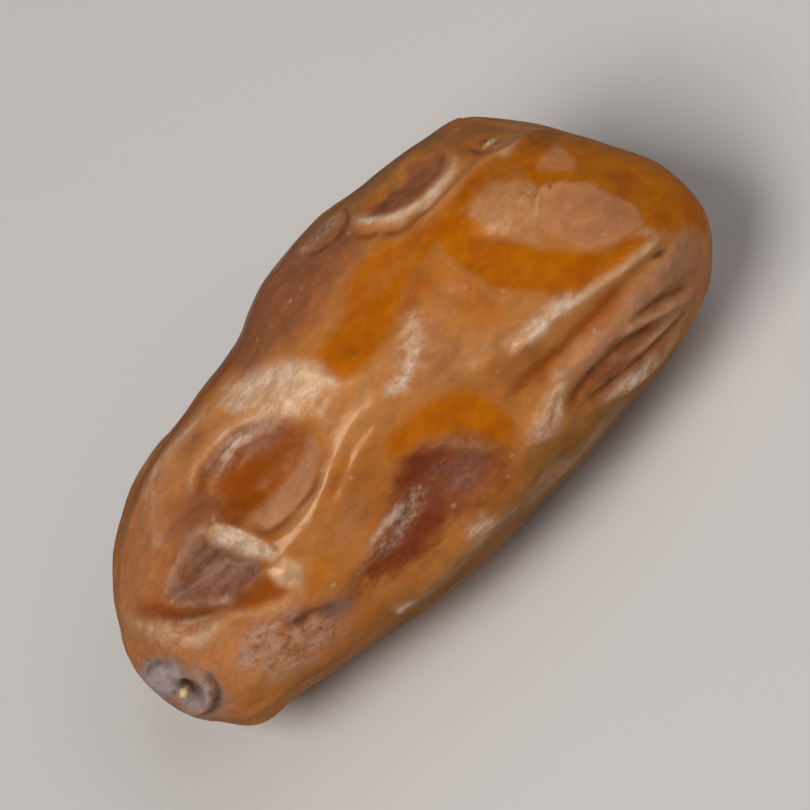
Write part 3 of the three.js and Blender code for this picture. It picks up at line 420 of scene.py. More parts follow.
STREAKS = (
    # Painted highlights along the crests: shoulder, rims of the big hollow and the facet, saddle, the lower
    # hollow's lip, the long crest, folds of the flank, lower edge, ring, and the pad's end
    Streak(PALE, 0.35, 0.8, ((-15.4, 6), (-14, 7.7), (-12, 8.6), (-9.5, 8.9), (-6.6, 8.9))),
    Streak(PALE, 0.8, 0.5, ((-7.4, 8.8), (-4.8, 8.2), (-3, 7), (-1.8, 4.8))),
    Streak(PALE, 0.3, 0.3, ((-12, 6.7), (-10.2, 7.5), (-8, 7.6), (-5.6, 6.3))),
    Streak(PALE, 0.3, 0.3, ((-18.9, 2), (-18.3, 1.1), (-17.3, 0.4), (-15, -0.4), (-13.4, -1.6), (-12, -2.1),
        (-10.6, -1.4))),
    Streak(PALE, 0.6, 0.6, ((-20, 4.8), (-19.5, 3.4), (-18.9, 2.1), (-18.1, 1), (-17, 0.2), (-15.4, -0.4))),
    Streak(PALE, 0.06, 0.6, ((-10.5, -1), (-8, 0.6), (-5.2, 1.7), (-3.2, 2.4), (-0.7, 2.4))),
    Streak(PALE, 0.35, 0.25, ((-10.6, 1), (-8.6, 1), (-6.4, 1.4), (-4.4, 2.1))),
    Streak(PALE, 0.35, 0.6, ((-0.6, 2.2), (1.6, 2.3), (3.4, 3.4), (4.2, 4.4))),
    Streak(PALE, 0.3, 0.3, ((-0.9, -1.3), (0.6, -2.6), (1.4, -3.8), (1.9, -5))),
    Streak(PALE, 1, 0.28, ((6, -1.1), (8.7, -1.35), (11.2, -1.85), (14.9, -2.6), (17.6, -2.75))),
    Streak(PALE, 0.65, 0.5, ((5.8, -0.7), (7.4, -0.9), (9.4, -1.2), (11.4, -1.8))),
    Streak(PALE, 0.7, 0.26, ((11.4, -4.9), (12.8, -5.35), (14.5, -5.9), (16.4, -6.5))),
    Streak(PALE, 0.6, 0.26, ((10.4, -6.1), (11.6, -6.3), (13, -6.5), (15, -6.65))),
    Streak(PALE, 0.5, 0.45, ((8.5, -7.3), (11.2, -7.6), (15, -7.3))),
    Streak(PALE, 0.4, 0.6, ((-9, -6.8), (-5, -7.3), (0, -7.4), (5, -7.6))),
    Streak(PALE, 0.45, 0.7, ((-1, -7.9), (3, -8), (7, -8), (10, -7.9))),
    Streak(PALE, 1, 0.4, ((5.9, 11), (6.2, 10.1), (7.1, 9.2), (8.4, 8.6), (10, 8.35), (11.8, 8.45), (12.6, 9.1))),
    Streak(PALE, 0.8, 0.16, ((12.8, 2.7), (13.3, 3.2), (14.4, 3.95), (15.2, 3.8))),
    Streak(PALE, 0.7, 0.3, ((16.2, -1.5), (16.9, -2.1), (17.4, -2.7))),
    Streak(PALE, 0.8, 0.24, ((13.9, 7.4), (14.8, 6.9), (16.2, 6.7))),
    # Painted highlights along those crests, on the lower edge and on the rim of the apex scar
    Streak(GLINT, 0.6, 0.22, ((-6.8, 8.3), (-5.4, 8), (-4.2, 7.4))),
    Streak(GLINT, 0.6, 0.2, ((-4, 8.1), (-3.1, 7.2), (-2.4, 6.2))),
    Streak(GLINT, 0.6, 0.3, ((-6.6, 8.6), (-4.8, 8), (-3.4, 7))),
    Streak(GLINT, 0.6, 0.3, ((-5, 7.2), (-3.6, 6.4), (-2.6, 5.2))),
    Streak(GLINT, 0.8, 0.35, ((-0.8, 2.3), (0.8, 2.15), (2, 2.4), (3, 3), (4.2, 4.1))),
    Streak(GLINT, 1, 0.2, ((-0.7, 2.25), (0.6, 2.15), (1.8, 2.3), (2.8, 2.8))),
    Streak(GLINT, 0.8, 0.4, ((6.5, -1), (8.7, -1.25), (10.4, -1.5), (12, -1.95))),
    Streak(GLINT, 1, 0.5, ((7.6, -7), (9.6, -7.2), (11.2, -7.4), (12.8, -7.4))),
    Streak(GLINT, 0.9, 0.5, ((-9, -6.7), (-8.3, -6.8), (-7.2, -7))),
    Streak(GLINT, 0.8, 0.6, ((-3, -6.4), (-2, -6.7), (-0.6, -6.9))),
    Streak(GLINT, 0.4, 0.3, ((-8.2, -3.4), (-6.6, -3.1), (-4.6, -3), (-3.4, -2.6))),
    Streak(GLINT, 0.35, 0.35, ((-14, 7.9), (-12, 8.7), (-9.5, 8.9), (-7.4, 9))),
    Streak(GLINT, 0.7, 0.25, ((-10, 6.4), (-8.6, 6.8), (-7, 6.4), (-6, 5.8))),
    Streak(GLINT, 0.6, 0.25, ((6, 10.6), (6.6, 9.6), (8, 8.8), (10, 8.4), (11.8, 8.5))),
    Streak(GLINT, 0.5, 0.35, ((-16.2, 5.5), (-15.3, 6), (-14.6, 7.1))),
    Streak(GLINT, 1, 0.2, ((-19.4, -0.8), (-19.2, -1.6), (-19.6, -2.35), (-20.4, -2.55), (-21.1, -2))),
    # Grey film on the facet's rim, which also tints the rim's painted pale sheen
    Streak(BLOOM, 0.85, 0.6, ((-19.6, 3.6), (-18.9, 2.1), (-18.1, 1), (-17, 0.2), (-15.4, -0.4))),
    # Corky blister on the top edge
    Streak(CORK, 0.95, 0.75, ((1.6, 11.2), (2.8, 11.3), (4.2, 11.3), (5.4, 11.3), (6.2, 11.2))),
    # Loose skin inside the ring, on the cross folds of the flank and over the lower hollow, partly a painted
    # sheen on the raised folds
    Streak(LOOSE, 0.7, 0.25, ((7.1, 7.8), (10, 7.6), (13, 7.5), (15.5, 6.9))),
    Streak(LOOSE, 0.5, 0.3, ((7.9, -4.9), (8.7, -5.7), (9, -6.6))),
    Streak(LOOSE, 0.5, 0.3, ((9.8, -4.8), (10.5, -5.6), (11.2, -6.4))),
    Streak(LOOSE, 0.6, 0.9, ((-9.4, -1.8), (-7, -1.3), (-4.4, -0.4))),
    # Amber under the central ridge
    Streak(AMBER, 0.5, 0.25, ((-7.6, 0), (-5.4, 0.9), (-3.4, 1.6))),
    # Dull veil over the facet with painted shade along its edge, and the smear between the apex and the lower
    # hollow
    Streak(MAUVE, 0.8, 0.45, ((-18.2, 2.8), (-17.2, 3.3), (-15.6, 4.2), (-13.8, 4.6), (-12, 4.8))),
    Streak(MAUVE, 1, 0.8, ((-12.4, -3.4), (-11, -4), (-9.2, -4.4))),
    Streak(LILAC, 0.35, 0.5, ((-11.8, -3.7), (-10.8, -4.1), (-9.6, -4.3))),
    Streak(MAROON, 0.95, 0.5, ((-14, -2.6), (-13.2, -2.8), (-12.2, -3), (-11.2, -3.7), (-10.6, -4))),
    # Red-orange painted shade in the trench round the facet, along the top edge and in the crest's valley
    Streak(EMBER, 0.95, 0.75, ((-19, 4.3), (-18, 2.4), (-16.3, 1), (-13.6, 0))),
    Streak(EMBER, 0.88, 0.75, ((-15.4, 8.2), (-13, 9.1), (-10, 9.7), (-6, 10), (-3.4, 10.4))),
    Streak(EMBER, 0.85, 0.55, ((3.8, -2.9), (7.6, -3.2), (11, -3.4), (15, -3.35))),
    # Red-brown painted shade in the creases: round the big hollow and the facet, on the flank, outside the
    # ring, by the apex; and a band of painted shade across the shoulder
    Streak(RUSSET, 0.8, 0.2, ((-12.2, 6), (-10.3, 6.9), (-8, 7), (-6, 6))),
    Streak(RUSSET, 0.9, 0.5, ((-19, 4.6), (-18, 2.6), (-16.5, 1.1), (-14.6, 0.3), (-13, -0.2))),
    Streak(RUSSET, 0.5, 0.25, ((-16.4, 5.6), (-15.6, 6.3), (-15.1, 7.2))),
    Streak(RUSSET, 0.8, 0.2, ((-11, 2.7), (-10.4, 1.7), (-8.6, 1.4), (-6.8, 1.6), (-5.6, 2))),
    Streak(RUSSET, 0.7, 0.35, ((-14, -2.6), (-13.2, -2.8), (-12.2, -3), (-11.2, -3.7), (-10.6, -4))),
    Streak(RUSSET, 0.55, 0.65, ((-11.5, 8.15), (-9.5, 8.3), (-7.6, 8.2))),
    Streak(RUSSET, 0.8, 0.3, ((6.4, -5.9), (7.6, -5.65), (9.4, -5.4), (11.2, -5.5), (12.6, -5.95), (14.2, -6.3))),
    Streak(RUSSET, 0.8, 0.22, ((12.6, -4.8), (13.6, -5.05), (14.8, -5.35), (15.5, -5.7), (17, -6.1))),
    Streak(RUSSET, 0.65, 0.28, ((7, -6.35), (8.4, -6.5), (10, -6.7), (12, -6.9), (14, -6.95), (16, -7))),
    Streak(RUSSET, 0.6, 0.22, ((5.2, 10.1), (5.9, 9.1), (7.4, 8.2), (9.4, 7.95), (12.6, 7.95))),
    Streak(RUSSET, 0.55, 0.2, ((7, 10.2), (7.6, 9.5), (8.8, 9), (10.4, 8.8), (11.8, 8.95))),
    Streak(RUSSET, 0.7, 0.17, ((-16.4, -2.6), (-15.4, -2.4), (-14.4, -2.7))),
    Streak(RUSSET, 0.6, 0.15, ((-15.6, -3.6), (-14.4, -3.5), (-13.2, -3.9))),
    # Dark lines: a dark mark along the smear, and painted shade in the crease of the lower hollow, the
    # grooves of the apex scar, and round the blister and the pits
    Streak(UMBER, 0.45, 0.6, ((-12.4, -3.5), (-11, -4), (-9, -4.4))),
    Streak(UMBER, 0.5, 0.12, ((-6, -3.7), (-5.2, -3.6), (-4.5, -3.8), (-3.7, -3.5))),
    Streak(UMBER, 0.75, 0.28, ((-14, -2.6), (-13.2, -2.8), (-12.4, -3), (-11.4, -3.5))),
    Streak(UMBER, 0.75, 0.25, ((-18.8, -0.9), (-18.9, -1.9), (-19.3, -2.7), (-20.2, -3), (-21, -2.8))),
    Streak(UMBER, 0.65, 0.18, ((-21.7, 1.1), (-20.9, 1.25), (-20.2, 0.95), (-19.8, 0.2))),
    Streak(UMBER, 0.7, 0.16, ((1.9, 11.9), (2.6, 11), (4.2, 10.55), (5.6, 10.9), (6, 11.6))),
    Streak(UMBER, 0.7, 0.16, ((13.5, 9.1), (13.5, 8.4), (13.8, 7.6))),
    Streak(UMBER, 0.7, 0.18, ((7, 10.5), (7.7, 10.4), (8.3, 10.3))),
    # Dull line along the facet's rim
    Streak(MATT, 0.9, 0.6, ((-18.4, 1.2), (-17.2, 0.3), (-15, -0.4), (-13.3, -1.6), (-11.7, -2))),
)


def smoothstep(values: np.ndarray, low: float, high: float) -> np.ndarray:
    """A smooth rise from 0 at low to 1 at high."""
    share = np.clip((values - low) / (high - low), 0, 1)
    return share * share * (3 - 2 * share)


def smooth_line(points: np.ndarray, spans: int, closed: bool = False) -> np.ndarray:
    """Samples a smooth curve through points.

    Args:
        points: one row for each point, in any number of dimensions.
        spans: samples between each two points.
        closed: whether the curve returns to its first point.

    Returns:
        The samples, one row each, with the last point at the end.
    """
    if closed:
        padded = np.vstack([points[-1:], points, points[:2]])
    else:
        padded = np.vstack([2 * points[0] - points[1], points, 2 * points[-1] - points[-2]])
    s = np.linspace(0, 1, spans, endpoint=False)[:, None]
    pieces = []
    for a, b, c, d in zip(padded, padded[1:], padded[2:], padded[3:]):
        bend = (2 * a - 5 * b + 4 * c - d) * s + (3 * b - a - 3 * c + d) * s * s
        pieces.append(b + 0.5 * s * ((c - a) + bend))
    pieces.append(padded[-2:-1])
    return np.vstack(pieces)


def line_distance(samples: np.ndarray, points: np.ndarray, reach: float) -> tuple[np.ndarray, np.ndarray]:
    """How near each point lies to a line, and where along the line.

    Args:
        samples: the line's corners, one row each.
        points: the points, one row each.
        reach: points further off than this may be given as infinitely far.

    Returns:
        The distances, and the places along the line from 0 to 1.
    """
    near = np.full(len(points), np.inf)
    place = np.zeros(len(points))
    inside = np.all((points > samples.min(0) - reach) & (points < samples.max(0) + reach), axis=1)
    chosen = np.flatnonzero(inside)
    if not len(chosen):
        return near, place
    local = points[chosen]
    best = np.full(len(chosen), np.inf)
    where = np.zeros(len(chosen))
    for i, (a, b) in enumerate(zip(samples, samples[1:])):
        step = b - a
        share = np.clip((local - a) @ step / max(step @ step, TINY * TINY), 0, 1)
        distance = np.linalg.norm(local - a - share[:, None] * step, axis=1)
        closer = distance < best
        best[closer] = distance[closer]
        where[closer] = (i + share[closer]) / (len(samples) - 1)
    near[chosen] = best
    place[chosen] = where
    return near, place


def inside_distance(loop: np.ndarray, places: np.ndarray) -> np.ndarray:
    """Distance of flat places to a closed outline.

    Args:
        loop: the outline's corners, one row each, with the first again at the end.
        places: the places, one row each.

    Returns:
        The distances, positive inside the outline, and none greater than FAR.
    """
    near, _ = line_distance(loop, places, FAR)
    near = np.minimum(near, FAR)
    x, y = places[:, 0], places[:, 1]
    inside = np.zeros(len(places), bool)
    for a, b in zip(loop, loop[1:]):
        if a[1] == b[1]:
            continue
        crosses = (a[1] > y) != (b[1] > y)
        inside ^= crosses & (x < a[0] + (y - a[1]) * (b[0] - a[0]) / (b[1] - a[1]))
    return np.where(inside, near, -near)


@dataclass
class FruitBody:
    """The smooth fruit on its own axes, in millimetres.

    Along runs from the apex to the stem end, across over the broad side, and out off it.
    """

    length: float = 42.6
    mid_length: float = -0.55
    end_bluntness: float = 2.5
    section_fullness: float = 2.2
    roll_deg: float = 37.0
    axis_height: float = 8.3
    rest_softness: float = 0.25
    # Samples between two stations, and how near the edge of a side a feature may lie
    curve_spans: int = 24
    widest_share: float = 0.99
    # Along, top edge, bottom edge and thickness of each station
    stations: tuple[tuple[float, float, float, float], ...] = (
        (-20.6, 4.1, -3.7, 7.4), (-19, 6.1, -5.6, 11.4), (-16, 8.3, -6.1, 14.2), (-12, 9.6, -7.0, 16.2),
        (-8, 10.1, -8.0, 17.2), (-4, 10.6, -8.4, 17.8), (0, 11.8, -8.7, 18.4), (4, 11.8, -8.7, 18.6),
        (8, 11.5, -8.5, 18.6), (12, 10.9, -8.2, 18.0), (15, 9.9, -7.6, 16.6), (17.5, 6.9, -6.7, 12.8),
        (19.2, 3.2, -5.5, 8.8), (20.2, 1.1, -4.3, 5.6),
    )
    curve: np.ndarray = field(init=False)

    def __post_init__(self) -> None:
        """Draws the smooth curves of centre, half height and half thickness through the stations."""
        rows = np.array(self.stations)
        t = self.fraction(rows[:, 0])
        taper = self.end_taper(t)
        centre = (rows[:, 1] + rows[:, 2]) / 2
        half = (rows[:, 1] - rows[:, 2]) / 2 / taper
        thick = rows[:, 3] / 2 / taper
        self.curve = smooth_line(np.column_stack([t, centre, half, thick]), self.curve_spans)

    def fraction(self, along: np.ndarray) -> np.ndarray:
        """Place along the fruit, from -1 at the apex to 1 at the stem end."""
        return (along - self.mid_length) / (self.length / 2)

    def end_taper(self, t: np.ndarray) -> np.ndarray:
        """How much of the full section is left at t."""
        power = self.end_bluntness
        return np.maximum(1 - np.abs(t) ** power, 0) ** (1 / power)

    def section(self, t: np.ndarray) -> tuple[np.ndarray, np.ndarray, np.ndarray]:
        """Centre, half height and half thickness at t, without the ends' taper."""
        curve = self.curve
        return tuple(np.interp(t, curve[:, 0], curve[:, column]) for column in (1, 2, 3))

    def points(self, directions: np.ndarray) -> np.ndarray:
        """Points of the smooth fruit over unit directions from its middle.

        Args:
            directions: the directions, one row each.

        Returns:
            The points, one row each.
        """
        power, full = self.end_bluntness, self.section_fullness
        around = np.hypot(directions[:, 1], directions[:, 2])
        size = (np.abs(directions[:, 0]) ** power + around ** power) ** (1 / power)
        t = directions[:, 0] / size
        safe = np.maximum(around, TINY)
        cos, sin = directions[:, 1] / safe, directions[:, 2] / safe
        cos = np.where(around < TINY, 1.0, cos)
        reach = around / size * (np.abs(cos) ** full + np.abs(sin) ** full) ** (-1 / full)
        centre, half, thick = self.section(t)
        along = self.mid_length + t * self.length / 2
        return np.column_stack([along, centre + half * reach * cos, thick * reach * sin])

    def skin(self, side: Side, places: np.ndarray) -> np.ndarray:
        """Points of the smooth fruit that show at a side's places.

        Args:
            side: the side on which they show.
            places: (along, across) or, on the back, (along, out), one row each.

        Returns:
            The points, one row each.
        """
        t = self.fraction(places[:, 0])
        taper = self.end_taper(t)
        centre, half, thick = self.section(t)
        half, thick = half * taper, thick * taper
        middle, reach, rise = (centre, half, thick) if side.axis == 2 else (0 * centre, thick, half)
        share = np.clip((places[:, 1] - middle) / reach, -self.widest_share, self.widest_share)
        full = self.section_fullness
        out = side.sign * rise * (1 - np.abs(share) ** full) ** (1 / full)
        level = middle + share * reach
        flat = (level, out) if side.axis == 2 else (centre + out, level)
        return np.column_stack([places[:, 0], *flat])

    def laid_down(self, points: np.ndarray) -> np.ndarray:
        """Rolls points into the pose in which the fruit rests, and flattens its underside.

        Args:
            points: points on the fruit's own axes, one row each.

        Returns:
            The points with the table at height 0.
        """
        angle = math.radians(self.roll_deg)
        cos, sin = math.cos(angle), math.sin(angle)
        y = points[:, 1] * cos - points[:, 2] * sin
        z = points[:, 1] * sin + points[:, 2] * cos + self.axis_height
        soft = self.rest_softness
        eased = (np.clip(z, -soft, soft) + soft) ** 2 / (4 * soft)
        z = np.where(z > soft, z, eased)
        return np.column_stack([points[:, 0], y, z])


@dataclass
class SkinRelief:
    """Height and tints of the skin over the smooth fruit. Sizes are in millimetres."""

    body: FruitBody
    # Over this width one side of the fruit gives way to the other
    edge_band: float = 2.2
    # Samples between two places, how many widths away a line is felt, and how it fades at its ends
    line_spans: int = 7
    outline_spans: int = 5
    line_reach: float = 4.0
    line_fade: tuple[float, float] = (2.5, 0.8)
    streak_sharpness: float = 0.2
    # How far outside its outline a hollow starts, as a share of its edge
    hollow_outside: float = 0.4
    # The back repeats the front turned end for end, narrower, moved and flatter, where it fits
    back_turn: tuple[float, float] = (-1.0, -0.7)
    back_shift: tuple[float, float] = (-1.1, -5.3)
    back_fit: tuple[float, float] = (0.9, 0.95)
    back_share: float = 0.8
    # Long ridges: swing, pitch and start or twist of the two waves that bend them, and the depth and the
    # pitches along and around of the wave that breaks them up
    wrinkle_height: float = 0.34
    wrinkle_count: int = 15
    wrinkle_bend: tuple[float, float, float] = (0.8, 4.1, 1.3)
    wrinkle_twist: tuple[float, float, float] = (0.45, 9.7, 2.0)
    wrinkle_breaks: tuple[float, float, float] = (0.35, 7.0, 3.0)
    wrinkle_near: float = 0.15
    wrinkle_far_band: tuple[float, float] = (-6.0, 2.0)
    wrinkle_end_band: tuple[float, float] = (0.8, 0.96)
    # Broad soft swell, small crinkles and rough crust: height of each, and size of its waves
    swell_height: float = 0.16
    swell_size: float = 4.5
    crinkle_height: float = 0.05
    crinkle_size: float = 1.1
    crinkle_stretch: float = 2.4
    crinkle_share: float = 0.35
    crinkle_limits: tuple[float, float] = (0.05, 1.2)
    crust_height: float = 0.07
    crust_size: float = 0.5
    # How far noise moves the edges of the tints, more so where they are soft
    wobble: float = 0.22
    wobble_size: float = 1.4
    wobble_rise: float = 1.5
    # Stem scar: a dished ring, its pleats, and a button with a pit
    stem_direction: tuple[float, float, float] = (1.0, -0.08, -0.37)
    stem_radius: float = 3.4
    stem_dip: float = 0.7
    stem_pleats: int = 14
    stem_pleat_height: float = 0.2
    pleat_start: tuple[float, float] = (1.7, 3.0)
    pleat_end: tuple[float, float] = (3.6, 8.0)
    pleat_side_band: tuple[float, float] = (-3.0, 0.0)
    button_radius: float = 1.5
    button_height: float = 0.75
    pit_radius: float = 0.45
    pit_floor: float = 0.2
    pit_share: float = 0.5
    # Swing and pitch of the waves that bend the pleats, round the scar and away from it
    pleat_bends: tuple[tuple[float, float], ...] = ((1.3, 3.0), (0.7, 0.9))
    # Where the dark ring round the button starts and ends, in button radii
    ring_start: tuple[float, float] = (0.85, 1.1)
    ring_end: tuple[float, float] = (1.3, 2.0)
    button_edge: float = 0.7

    def facing(self, side: Side, points: np.ndarray) -> np.ndarray:
        """1 on one side of the fruit and 0 on the other, with a soft change at the edge."""
        middle = self.body.section(self.body.fraction(points[:, 0]))[0] if side.axis == 1 else 0
        return smoothstep((points[:, side.axis] - middle) * side.sign, -self.edge_band / 2, self.edge_band / 2)

    def along_fold(self, item: Fold | Streak, points: np.ndarray, sharpness: float) -> np.ndarray:
        """How strongly a fold or streak holds at each point, from 0 to 1.

        Args:
            item: the fold or streak.
            points: points of the smooth fruit, one row each.
            sharpness: 0 for a round profile, up to 1 for a sharp crest.

        Returns:
            One value for each point.
        """
        line = smooth_line(self.body.skin(item.side, np.array(item.places, float)), self.line_spans)
        near, place = line_distance(line, points, self.line_reach * item.width)
        flank = np.exp(-((near / item.width) ** (2 - sharpness)))
        length = np.linalg.norm(np.diff(line, axis=0), axis=1).sum()
        from_end = np.minimum(place, 1 - place) * length
        widths, extra = self.line_fade
        return flank * smoothstep(from_end, 0, min(widths * item.width + extra, 0.5 * length))

    def inside(self, item: Hollow | Patch, points: np.ndarray, low: float, high: float) -> np.ndarray:
        """How far each point lies inside an outline, from 0 to 1 over low to high millimetres.

        Args:
            item: the feature that has the outline.
            points: points of the smooth fruit, one row each.
            low: the distance inside the outline that counts as 0.
            high: the distance that counts as 1.

        Returns:
            One value for each point.
        """
        loop = smooth_line(np.array(item.places, float), 1 if item.straight else self.outline_spans, closed=True)
        distance = inside_distance(loop, points[:, [0, 3 - item.side.axis]])
        return self.facing(item.side, points) * smoothstep(distance, low, high)

    def with_back(self, items: tuple[Feature, ...]) -> list[Feature]:
        """The features of a table, with those of the front that fit there repeated on the back.

        Args:
            items: a table's features.

        Returns:
            The same features, and then those for the back.
        """
        length, width = self.back_fit
        more = []
        for item in items:
            places = np.array(item.places, float) * self.back_turn + self.back_shift
            t = self.body.fraction(places[:, 0])
            reach = self.body.section(t)[2] * self.body.end_taper(np.clip(t, -1, 1))
            fits = np.all(np.abs(t) < length) and np.all(np.abs(places[:, 1]) < width * reach)
            if item.side is UP and fits:
                more.append(replace(item, side=BACK, places=tuple(map(tuple, places.tolist()))))
        return [*items, *more]

    def folds(self, points: np.ndarray) -> np.ndarray:
        """Height of all the crests and creases."""
        folds = self.with_back(FOLDS)
        return sum(self.share(fold) * fold.height * self.along_fold(fold, points, fold.sharpness) for fold in folds)

    def hollows(self, points: np.ndarray) -> np.ndarray:
        """Height of all the dips and pads."""
        hollows, out = self.with_back(HOLLOWS), -self.hollow_outside
        return sum(-self.share(h) * h.depth * self.inside(h, points, out * h.edge, h.edge) for h in hollows)

    def share(self, item: Fold | Hollow) -> float:
        """How much of a feature's height is kept: the back is flatter."""
        return self.back_share if item.side is BACK else 1.0

    def wrinkles(self, points: np.ndarray) -> np.ndarray:
        """Ridges that run along the fruit, strongest on the far side.

        Args:
            points: points of the smooth fruit, one row each.

        Returns:
            The height at each point.
        """
        t = self.body.fraction(points[:, 0])
        centre = self.body.section(t)[0]
        angle = np.arctan2(points[:, 2], points[:, 1] - centre)
        swing, pitch, start = self.wrinkle_bend
        wander = swing * np.sin(pitch * t + start)
        swing, pitch, twist = self.wrinkle_twist
        wander = wander + swing * np.sin(pitch * t + twist * np.cos(angle))
        ridge = 0.5 - np.abs(np.sin(0.5 * self.wrinkle_count * angle + wander))
        depth, along, around = self.wrinkle_breaks
        broken = 1 - depth + depth * np.sin(along * t + around * angle)
        far = self.wrinkle_near + (1 - self.wrinkle_near) * smoothstep(-points[:, 2], *self.wrinkle_far_band)
        ends = 1 - smoothstep(np.abs(t), *self.wrinkle_end_band)
        return self.wrinkle_height * ridge * broken * far * ends

    def swell(self, points: np.ndarray) -> np.ndarray:
        """Broad soft unevenness."""
        values = np.array([noise.noise(p) for p in (points / self.swell_size).tolist()])
        return self.swell_height * values

    @staticmethod
    def ridged(points: np.ndarray) -> np.ndarray:
        """Sharp-edged noise about its mean."""
        values = np.array([noise.ridged_multi_fractal(p, *RIDGED) for p in points.tolist()])
        return values - values.mean()

    def crinkles(self, points: np.ndarray, tints: dict[Tint, np.ndarray]) -> np.ndarray:
        """Small crinkles drawn out along loose skin, and the rough crust of the scars.

        Args:
            points: points of the smooth fruit, one row each.
            tints: how strongly each tint holds at each point.

        Returns:
            The height at each point.
        """
        size = self.crinkle_size
        loose = self.crinkle_share + tints[LOOSE] + tints[MAUVE] + 0.8 * tints[PALE] - tints[AMBER]
        loose = np.clip(loose, *self.crinkle_limits)
        crusty = sum(tints[tint] for tint in (SCAR, CORK, FIBRE))
        rough = self.crust_height * crusty * self.ridged(points / self.crust_size)
        return self.crinkle_height * loose * self.ridged(points / (self.crinkle_stretch * size, size, size)) + rough

    def stem_middle(self) -> np.ndarray:
        """Middle of the stem scar on the smooth fruit."""
        direction = np.array([self.stem_direction])
        return self.body.points(direction / np.linalg.norm(direction))[0]

    def stem(self, points: np.ndarray) -> np.ndarray:
        """The stem scar: a dished ring with pleats and a button of stalk fibre with a pit in it.

        Args:
            points: points of the smooth fruit, one row each.

        Returns:
            The height at each point.
        """
        distance, pleats, band = self.stem_rays(points)
        dip = np.exp(-((distance / self.stem_radius) ** 4))
        pit = np.exp(-((distance / self.pit_radius) ** 2))
        button = np.exp(-((distance / self.button_radius) ** 4)) - self.pit_share * pit
        return self.stem_pleat_height * pleats * band - self.stem_dip * dip + self.button_height * button

    def stem_rays(self, points: np.ndarray) -> tuple[np.ndarray, np.ndarray, np.ndarray]:
        """Distance from the stem scar, the pleats round it from -1 to 1, and where they show.

        Args:
            points: points of the smooth fruit, one row each.

        Returns:
            The distances, the pleats, and how strongly they show, each one value for a point.
        """
        offset = points - self.stem_middle()
        distance = np.linalg.norm(offset, axis=1)
        angle = np.arctan2(offset[:, 2], offset[:, 1])
        band = smoothstep(distance, *self.pleat_start) * (1 - smoothstep(distance, *self.pleat_end))
        band *= 1 - smoothstep(points[:, 2], *self.pleat_side_band)
        (swing, pitch), (out_swing, out_pitch) = self.pleat_bends
        bend = swing * np.sin(pitch * angle)
        pleats = np.cos(self.stem_pleats * angle + bend + out_swing * np.sin(out_pitch * distance))
        return distance, pleats, band

    def stem_tints(self, points: np.ndarray) -> dict[Tint, np.ndarray]:
        """Tints of the stem scar and the pleats round it: painted highlights on the pleats' crests, and painted
        shade in their valleys, in the dark ring round the button and in its pit.

        Args:
            points: points of the smooth fruit, one row each.

        Returns:
            How strongly each tint holds at each point.
        """
        distance, pleats, band = self.stem_rays(points)
        radii = distance / self.button_radius
        ring = smoothstep(radii, *self.ring_start) * (1 - smoothstep(radii, *self.ring_end))
        return {
            FIBRE: 1 - smoothstep(radii, self.button_edge, 1),
            # painted shade in the button's pit
            UMBER: 0.9 * (1 - smoothstep(distance, self.pit_floor, self.pit_radius)),
            # painted shade in the ring round the button and in the pleats' valleys
            RUSSET: np.clip(0.85 * ring + 0.7 * band * np.clip(-pleats, 0, 1), 0, 1),
            LOOSE: 0.6 * band,
            # painted highlights on the pleats' crests
            PALE: 0.55 * band * np.clip(pleats, 0, 1),
        }

    def tints(self, points: np.ndarray) -> dict[Tint, np.ndarray]:
        """How strongly each tint holds at each point, from 0 to 1.

        Args:
            points: points of the smooth fruit, one row each.

        Returns:
            One value for each point, for every tint.
        """
        drift = np.array([noise.noise_vector(p)[:] for p in (points / self.wobble_size).tolist()])
        drift *= self.wobble
        left = {tint: np.ones(len(points)) for tint in Tint}
        for tint, share in self.stem_tints(points + drift).items():
            left[tint] *= 1 - share
        for patch in self.with_back(PATCHES):
            moved = points + min(1.0, self.wobble_rise * patch.softness) * drift
            share = self.inside(patch, moved, -patch.softness / 2, patch.softness / 2)
            left[patch.tint] *= 1 - patch.strength * share
        for streak in self.with_back(STREAKS):
            share = self.along_fold(streak, points + drift, self.streak_sharpness)
            left[streak.tint] *= 1 - streak.strength * share
        return {tint: 1 - rest for tint, rest in left.items()}


class Sock:
    """A shader socket on which arithmetic can be written as expressions."""

    def __init__(self, shading: "Shading", socket: bpy.types.NodeSocket) -> None:
        """Keeps the socket and the material that it belongs to."""
        self.shading = shading
        self.socket = socket

    def maths(self, operation: str, first: "Sock | float", second: "Sock | float" = 0.0) -> "Sock":
        """Adds a Math node and returns its result."""
        return self.shading.node("ShaderNodeMath", {"operation": operation}, {0: first, 1: second})

    def __add__(self, other: "Sock | float") -> "Sock":
        """Sum."""
        return self.maths("ADD", self, other)

    __radd__ = __add__

    def __mul__(self, other: "Sock | float") -> "Sock":
        """Product."""
        return self.maths("MULTIPLY", self, other)

    __rmul__ = __mul__

    def __sub__(self, other: "Sock | float") -> "Sock":
        """Difference."""
        return self.maths("SUBTRACT", self, other)

    def __rsub__(self, other: "Sock | float") -> "Sock":
        """Reflected difference, as in 1 - mask."""
        return self.maths("SUBTRACT", other, self)

    def clamped(self) -> "Sock":
        """The value kept between 0 and 1."""
        return self.shading.node("ShaderNodeClamp", {}, {"Value": self})

    def ramp(self, low: float, high: float) -> "Sock":
        """A smooth rise from 0 at low to 1 at high."""
        settings = {"interpolation_type": "SMOOTHSTEP"}
        return self.shading.node("ShaderNodeMapRange", settings, {"Value": self, "From Min": low, "From Max": high})


